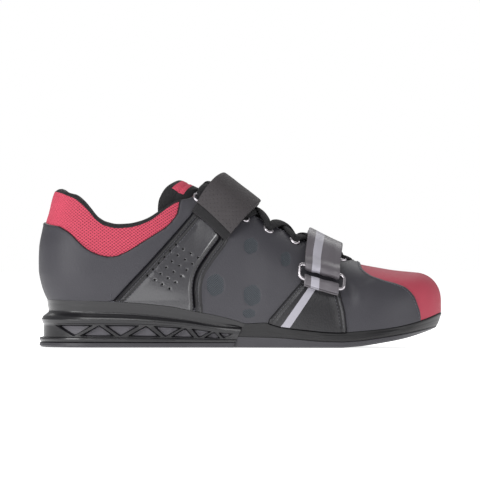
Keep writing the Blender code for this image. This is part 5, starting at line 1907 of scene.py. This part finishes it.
def groove_tread(first, last):
    """Depth of the cross grooves at a point of the underside."""
    count = int((last - first - 2 * GROOVE_MARGIN) / GROOVE_PITCH) + 1
    start = (first + last - (count - 1) * GROOVE_PITCH) / 2

    def depth(p, a, b):
        phase = (p[0] - start) / GROOVE_PITCH
        if phase < -0.4 or phase > count - 0.6:
            return 0.0
        off = abs(phase - round(phase)) * GROOVE_PITCH
        room = min(p[1] - min(a[1], b[1]), max(a[1], b[1]) - p[1])
        t = np.clip((GROOVE_WIDTH / 2 + 0.0003 - off) / 0.0006, 0, 1)
        s = np.clip((room - GROOVE_MARGIN / 2) / 0.001, 0, 1)
        return float(GROOVE_DEPTH * t * s)
    return depth


def closed_piece(name, points, faces, chosen, finishes, replaced, smooth=38, flat=None,
                 seam=0.000005):
    """Link a closed mesh after welding its points within a seam and turning it outwards."""
    mesh = mesh_of(name, points, faces, chosen, flat)
    weld = bmesh.new()
    weld.from_mesh(mesh)
    bmesh.ops.remove_doubles(weld, verts=weld.verts, dist=seam)
    bmesh.ops.recalc_face_normals(weld, faces=weld.faces)
    if weld.calc_volume(signed=True) < 0:
        bmesh.ops.reverse_faces(weld, faces=weld.faces)
    weld.to_mesh(mesh)
    weld.free()
    return link(name, mesh, finishes, replaced, smooth)


# Height of the truss in its flat net, in mm
TRUSS_TALL = 9.0


def truss_loops(pulled_in):
    """Window triangles of the truss on both sides, pulled in by a distance, as wall loops."""
    loops = []
    for side in (-1.0, 1.0):
        for centre, half, apex_up in WINDOWS:
            corners = []
            for shift, tip in ((-half, 0), (half, 0), (0.0, 1)):
                along = np.array([max(centre + shift, TIP_SHARE)])
                walk = walk_of(stretch_of(along), side)[0]
                up = tip if apex_up else 1 - tip
                corners.append((side * walk, TRUSS_TALL * (0.955 if up else 0.045)))
            corners = np.array(corners)
            sizes = [np.linalg.norm(corners[i - 2] - corners[i - 1]) for i in range(3)]
            middle = (corners * np.array(sizes)[:, None]).sum(axis=0) / sum(sizes)
            ab, ac = corners[1] - corners[0], corners[2] - corners[0]
            radius = abs(ab[0] * ac[1] - ab[1] * ac[0]) / sum(sizes)
            inner = middle + (corners - middle) * (1 - pulled_in / radius)
            closed = np.concatenate([inner, inner[:1]])
            soft = []
            for a, b in zip(closed[:-1], closed[1:]):
                reach = min(0.9 / max(np.linalg.norm(b - a), 1e-6), 0.3)
                soft += [a + (b - a) * reach, b - (b - a) * reach]
            cut = []
            for k in range(len(soft)):
                cut.append(soft[k])
                if k % 2 == 1:
                    tip_at = inner[((k + 1) // 2) % 3]
                    cut.append((soft[k] + soft[(k + 1) % len(soft)]) / 4 + tip_at / 2)
            loops.append(np.array(cut))
    return loops


def make_heel_unit(looks):
    """Moulded heel: concave band, sharp flange, truss with sunk windows, and the base chord."""
    joint = float(stretch_of(np.array([SOLE_JOINT]))[0])
    stretch, side = wall_columns(joint, 0.0, 120)
    along = along_of(stretch)
    walk = side * walk_of(stretch, side)

    def base(a):
        return OUTSOLE_THICKNESS + GAP + 0 * a

    def low(a):
        return heel_level("truss_bottom", a) + 0.0007

    def high(a):
        return heel_level("truss_top", a)

    face_out_low, face_out_high = flare(HEEL_FLARE - 0.0010, 0), flare(HEEL_FLARE - 0.0012, 0)
    lower = [
        (base, flare(CHORD_FLARE - 0.0008, 0), 0),
        (lambda a: (base(a) + heel_level("truss_bottom", a)) / 2,
         flare(CHORD_FLARE + 0.0002, 0), 1),
        (lambda a: heel_level("truss_bottom", a), flare(CHORD_FLARE, 0), 1),
        (low, face_out_low, 0),
    ]
    upper = [
        (high, face_out_high, 1),
        (lambda a: heel_level("truss_top", a) + 0.0009, flare(HEEL_FLARE - 0.0004, 0), 1),
        (lambda a: heel_level("flange", a) - 0.0006, flare(HEEL_FLARE + 0.0002, 0), 1),
        (lambda a: heel_level("flange", a) + 0.0006, flare(HEEL_FLARE - 0.0005, 0), 1),
        (lambda a: heel_level("step", a), flare(RIM_LEDGE * 0.35, 0), 1),
        (lambda a: rim_height(a) - 0.0030, lambda a: ledge(a) * 0.75, 1),
        (rim_height, ledge, 0),
    ]
    low_rows = level_rows(lower, along, (2, 2, 3), True)
    high_rows = level_rows(upper, along, (3, 4, 3, 8, 5, 4), True)
    count = len(stretch)
    rows = low_rows + high_rows
    points = np.concatenate([wall_points(stretch_of(a), side, z, o) for a, z, o in rows])
    faces = grid_faces(len(low_rows), count)
    faces += grid_faces(len(high_rows), count, start=len(low_rows) * count)
    edge_low = np.stack([walk, 0 * walk], axis=-1)
    edge_high = np.stack([walk, TRUSS_TALL + 0 * walk], axis=-1)
    outline = np.concatenate([edge_low, edge_high[::-1]])
    outer_loops = truss_loops(0.0)
    loops = outer_loops + truss_loops(0.45) + truss_loops(0.95)
    net, net_faces = fill_sheet(outline, 2.2, loops, (), (0.0001,))
    # Sunk floors inside the windows, and a soft bead along their rims
    depth = np.zeros(len(net))
    for loop in outer_loops:
        inside = inside_loop(net, loop)
        far = line_distance(net, loop, True)
        sunk = np.interp(far, [0, 0.25, 0.50, 0.90, 1.25], [0, 0.16, 0.62, 3.2, 3.6])
        depth = np.maximum(depth, inside * sunk)
        depth = np.where(~inside & (far < 0.9), depth - 0.22 * np.sin(np.pi * far / 0.9), depth)
    net_side = np.where(net[:, 0] < 0, -1.0, 1.0)
    net_along = along_of(stretch_at(np.abs(net[:, 0]), net_side))
    share = net[:, 1] / TRUSS_TALL
    z = low(net_along) + (high(net_along) - low(net_along)) * share
    net_along = slid(net_along, z, True)
    z = low(net_along) + (high(net_along) - low(net_along)) * share
    out = face_out_low(net_along) * (1 - share) + face_out_high(net_along) * share - depth / 1000
    start = len(points)
    points = np.concatenate([points, wall_points(stretch_of(net_along), net_side, z, out)])
    chosen = [0] * len(faces)
    faces += [tuple(int(i) + start for i in f) for f in net_faces]
    chosen += list((depth[net_faces].min(axis=1) > 2.5).astype(int))
    extra = cap_faces((len(rows) - 1) * count, count, False) + cap_faces(0, count, True)
    extra.append(end_face(len(rows), count))
    faces += extra
    chosen += [0] * len(extra)
    finishes = [looks["moulded"], looks["moulded_dull"]]
    closed_piece("heel_unit_cover", points, faces, chosen, finishes,
                 ("heel_unit",), 40)


def make_sole_covers(looks):
    """Heel unit, outsoles, forefoot rand and footbed."""
    make_heel_unit(looks)
    joint_at = SOLE_JOINT * LAST_LENGTH - HEEL_CENTRE
    joint = float(stretch_of(np.array([SOLE_JOINT]))[0])
    heel = wall_columns(joint, 0.0, 190)
    levels = [
        (lambda a: 0 * a, flare(CHORD_FLARE - 0.0010, 0), 2),
        (lambda a: 0.35 * OUTSOLE_THICKNESS + 0 * a, flare(CHORD_FLARE + 0.0002, 0), 1),
        (lambda a: 0.9 * OUTSOLE_THICKNESS + 0 * a, flare(CHORD_FLARE, 0), 1),
        (lambda a: OUTSOLE_THICKNESS + 0 * a, flare(CHORD_FLARE - 0.0006, 0), 0),
    ]
    tread = groove_tread(-HEEL_CENTRE, joint_at)
    points, faces = lofted(heel, levels, (3, 3, 2), tread)
    closed_piece("outsole_heel_cover", points, faces, None, [looks["rubber"]],
                 ("outsole_heel",))
    start = joint_at - 0.0003
    fore_start = float(stretch_of(np.array([(start + HEEL_CENTRE) / LAST_LENGTH]))[0])
    fore = wall_columns(fore_start, 1.0, 200)
    rand_start = float(stretch_of(np.array([SOLE_JOINT - 0.0003 / LAST_LENGTH]))[0])
    rand = wall_columns(rand_start, 1.0, 200)
    levels = [
        (lambda a: band_height(a) + GAP, flare(FOREFOOT_FLARE - 0.0006, TOE_UNDERCUT * 0.35), 1),
        (lambda a: band_height(a) * 0.7 + rim_height(a) * 0.3,
         flare(FOREFOOT_FLARE - 0.0004, TOE_UNDERCUT * 0.20), 1),
        (lambda a: (band_height(a) + rim_height(a)) / 2,
         flare(FOREFOOT_FLARE - 0.0008, TOE_UNDERCUT * 0.12), 1),
        (lambda a: rim_height(a) - 0.0009, lambda a: ledge(a) + 0.0002, 2),
        (lambda a: rim_height(a) + 0.0002, lambda a: ledge(a) - 0.0005, 0),
    ]
    points, faces = lofted(rand, levels, (4, 4, 6, 3))
    closed_piece("rand_cover", points, faces, None, [looks["rand"]],
                 ("midsole_forefoot",))
    levels = [
        (floor_height, flare(FOREFOOT_FLARE - 0.0012, TOE_UNDERCUT * 1.1), 2),
        (lambda a: floor_height(a) + 0.3 * OUTSOLE_THICKNESS,
         flare(FOREFOOT_FLARE, TOE_UNDERCUT * 0.8), 1),
        (lambda a: band_height(a) - 0.0005,
         flare(FOREFOOT_FLARE + 0.0002, TOE_UNDERCUT * 0.38), 1),
        (band_height, flare(FOREFOOT_FLARE - 0.0003, TOE_UNDERCUT * 0.38), 0),
    ]
    tread = groove_tread(start, 0.93 * LAST_LENGTH - HEEL_CENTRE)
    points, faces = lofted(fore, levels, (3, 5, 2), tread)
    closed_piece("outsole_forefoot_cover", points, faces, None, [looks["rubber"]],
                 ("outsole_forefoot",))
    inset = -(UPPER_WALL + INSOLE_CLEARANCE)
    half = 130
    around = np.linspace(0, 1, half)
    stretch = np.concatenate([around, around[::-1][1:-1]])
    side = np.concatenate([np.full(half, -1.0), np.full(half - 2, 1.0)])
    along = along_of(stretch)
    rings = []
    for lift, out in ((0.0, 0.0), (0.7, 0.0), (1.0, -0.0008)):
        z = rim_height(along) + GAP + INSOLE_THICKNESS * lift
        rings.append(wall_points(stretch, side, z, inset + out + 0 * along))
    count = len(stretch)
    points = np.concatenate(rings)
    faces = grid_faces(3, count, closed=True)
    for base, up in ((0, True), (2 * count, False)):
        for i in range(half - 1):
            a, b = (-i) % count, (-i - 1) % count
            quad = (base + i, base + i + 1, base + b, base + a) if i else (base, base + 1, base + b)
            if i == half - 2:
                quad = (base + i, base + i + 1, base + a)
            faces.append(quad[::-1] if up else quad)
    flat = points[:, :2] * 1000
    closed_piece("footbed", points, faces, None, [looks["lining"]], ("insole",), 50, flat)


# Stage, in metres: the floor lies just under the tread, and the camera stands far off with a
# long lens, as the photograph shows hardly any perspective
FLOOR_REACH = 6.0
FLOOR_DROP = 0.0006
CAMERA_DISTANCE = 6.0
CAMERA_LENS = 610.2
CAMERA_AIM_ACROSS = -0.045


def make_stage(sizes):
    """Pale floor, soft studio light and the camera of the photograph."""
    scene = bpy.context.scene
    floor_mesh = bpy.data.meshes.new("floor")
    corners = ((-1, -1), (1, -1), (1, 1), (-1, 1))
    corners = [(x * FLOOR_REACH, y * FLOOR_REACH, -FLOOR_DROP) for x, y in corners]
    floor_mesh.from_pydata(corners, [], [(0, 1, 2, 3)])
    floor = bpy.data.objects.new("floor", floor_mesh)
    scene.collection.objects.link(floor)
    floor_mesh.materials.append(surface(
        "studio_floor", linear("#FBFBFC"), 0.9,
        Emission_Color=(1.0, 1.0, 1.0, 1.0), Emission_Strength=0.80,
    ))
    world = bpy.data.worlds.new("studio")
    scene.world = world
    world.use_nodes = True
    tree = world.node_tree
    tree.nodes.clear()
    shown = add(tree, "LightPath")["Is Camera Ray"]
    strength = add(tree, "MapRange", {0: shown, 3: sizes.surround, 4: 1.0})[0]
    sky = add(tree, "Background", {"Color": (1.0, 1.0, 1.0, 1.0), "Strength": strength})[0]
    add(tree, "OutputWorld", {"Surface": sky})
    for name, place, aim, size, power in (
        ("key", (-0.45, -1.0, 1.10), (0.0, 0.0, 0.05), 0.8, sizes.key),
        ("left", (-1.15, -0.95, 0.34), (-0.05, 0.0, 0.03), 0.7, sizes.fill * 1.4),
        ("low", (-0.42, -1.25, 0.16), (-0.06, 0.0, 0.03), 0.26, sizes.shine),
        ("right", (1.1, -0.7, 0.5), (0.05, 0.0, 0.05), 0.7, sizes.fill * 0.7),
        ("back", (0.0, 0.9, 0.9), (0.0, 0.0, 0.08), 1.2, sizes.fill),
    ):
        lamp = bpy.data.lights.new(name, "AREA")
        lamp.shape = "RECTANGLE"
        lamp.size, lamp.size_y, lamp.energy = size, size * 0.6, power
        stand = bpy.data.objects.new(name, lamp)
        stand.location = place
        look = Vector(aim) - Vector(place)
        stand.rotation_euler = look.to_track_quat("-Z", "Y").to_euler()
        scene.collection.objects.link(stand)
    camera = bpy.data.cameras.new("camera")
    camera.lens = CAMERA_LENS
    camera.sensor_width = 36.0
    stand = bpy.data.objects.new("camera", camera)
    aim = Vector((sizes.aim_x, CAMERA_AIM_ACROSS, sizes.aim_z))
    rise = math.radians(sizes.rise)
    stand.location = aim + Vector((0.0, -math.cos(rise), math.sin(rise))) * CAMERA_DISTANCE
    stand.rotation_euler = (aim - stand.location).to_track_quat("-Z", "Y").to_euler()
    scene.collection.objects.link(stand)
    scene.camera = stand
    scene.view_settings.view_transform = "Standard"


def colour_property(label, about, code):
    """Colour property with a default from its display code."""
    return FloatVectorProperty(name=label, description=about, default=linear(code)[:3], size=3,
                               subtype="COLOR", min=0.0, max=1.0)


class ShoeColours(bpy.types.PropertyGroup):
    """Colours of the shoe's materials."""

    __annotations__ = {
        key: colour_property(label, about, code) for key, label, about, code in COLOUR_TABLE
    }


class ShoeStage(bpy.types.PropertyGroup):
    """Light and camera."""

    surround: FloatProperty(
        name="Surround", description="Brightness of the white surround",
        default=0.33,
    )
    key: FloatProperty(
        name="Key", description="Power of the main light",
        default=7.0, unit="POWER",
    )
    shine: FloatProperty(
        name="Shine", description="Power of the small low light",
        default=0.9, unit="POWER",
    )
    fill: FloatProperty(
        name="Fill", description="Power of the side lights",
        default=5.0, unit="POWER",
    )
    aim_x: FloatProperty(
        name="Aim along", description="Point the camera looks at",
        default=0.0, unit="LENGTH",
    )
    aim_z: FloatProperty(
        name="Aim up", description="Height the camera looks at",
        default=0.0794, unit="LENGTH",
    )
    rise: FloatProperty(
        name="Rise", description="Camera's angle above level, in degrees",
        default=0.3,
    )


LOOKS = {}


def looks():
    """The materials, made once."""
    if not LOOKS:
        LOOKS.update(make_finishes(bpy.context.scene.shoe_colours))
    return LOOKS


class SHOE_OT_knit(bpy.types.Operator):
    """Knit base of the upper with its collar edge and lining"""

    bl_idname = "shoe.knit"
    bl_label = "Knit base"

    def execute(self, context):
        make_knit(looks())
        return {"FINISHED"}


class SHOE_OT_panels(bpy.types.Operator):
    """Counter, strap panels, quarters, vamp and anchors"""

    bl_idname = "shoe.panels"
    bl_label = "Panels"

    def execute(self, context):
        make_panels(looks())
        return {"FINISHED"}


class SHOE_OT_tongue(bpy.types.Operator):
    """Padded tongue"""

    bl_idname = "shoe.tongue"
    bl_label = "Tongue"

    def execute(self, context):
        make_tongue_cover(looks())
        return {"FINISHED"}


class SHOE_OT_straps(bpy.types.Operator):
    """Straps, their rings and tabs"""

    bl_idname = "shoe.straps"
    bl_label = "Straps"

    def execute(self, context):
        make_strap_covers(looks())
        return {"FINISHED"}


class SHOE_OT_laces(bpy.types.Operator):
    """Eyelets and laces"""

    bl_idname = "shoe.laces"
    bl_label = "Eyelets and laces"

    def execute(self, context):
        make_eyelet_rings(looks())
        make_lace_bands(looks())
        return {"FINISHED"}


class SHOE_OT_sole(bpy.types.Operator):
    """Heel unit, outsoles, rand and footbed"""

    bl_idname = "shoe.sole"
    bl_label = "Sole"

    def execute(self, context):
        make_sole_covers(looks())
        return {"FINISHED"}


class SHOE_OT_stage(bpy.types.Operator):
    """Floor, light and camera"""

    bl_idname = "shoe.stage"
    bl_label = "Stage"

    def execute(self, context):
        make_stage(context.scene.shoe_stage)
        return {"FINISHED"}


OPERATORS = (SHOE_OT_knit, SHOE_OT_panels, SHOE_OT_tongue, SHOE_OT_straps, SHOE_OT_laces,
             SHOE_OT_sole, SHOE_OT_stage)


class SHOE_PT_panel(bpy.types.Panel):
    """Lists the shoe's operators."""

    bl_idname = "SHOE_PT_panel"
    bl_label = "Shoe"
    bl_space_type = "VIEW_3D"
    bl_region_type = "UI"
    bl_category = "Shoe"

    def draw(self, context):
        for kind in OPERATORS:
            self.layout.operator(kind.bl_idname)


CLASSES = (ShoeColours, ShoeStage) + OPERATORS + (SHOE_PT_panel,)


def register():
    """Register the classes and their settings."""
    for kind in CLASSES:
        bpy.utils.register_class(kind)
    bpy.types.Scene.shoe_colours = PointerProperty(type=ShoeColours)
    bpy.types.Scene.shoe_stage = PointerProperty(type=ShoeStage)


def unregister():
    """Remove the classes and their settings."""
    del bpy.types.Scene.shoe_colours
    del bpy.types.Scene.shoe_stage
    for kind in reversed(CLASSES):
        bpy.utils.unregister_class(kind)


def main():
    """Register the classes and build every piece."""
    register()
    for kind in OPERATORS:
        group, name = kind.bl_idname.split(".")
        getattr(getattr(bpy.ops, group), name)()


if __name__ == "__main__":
    main()
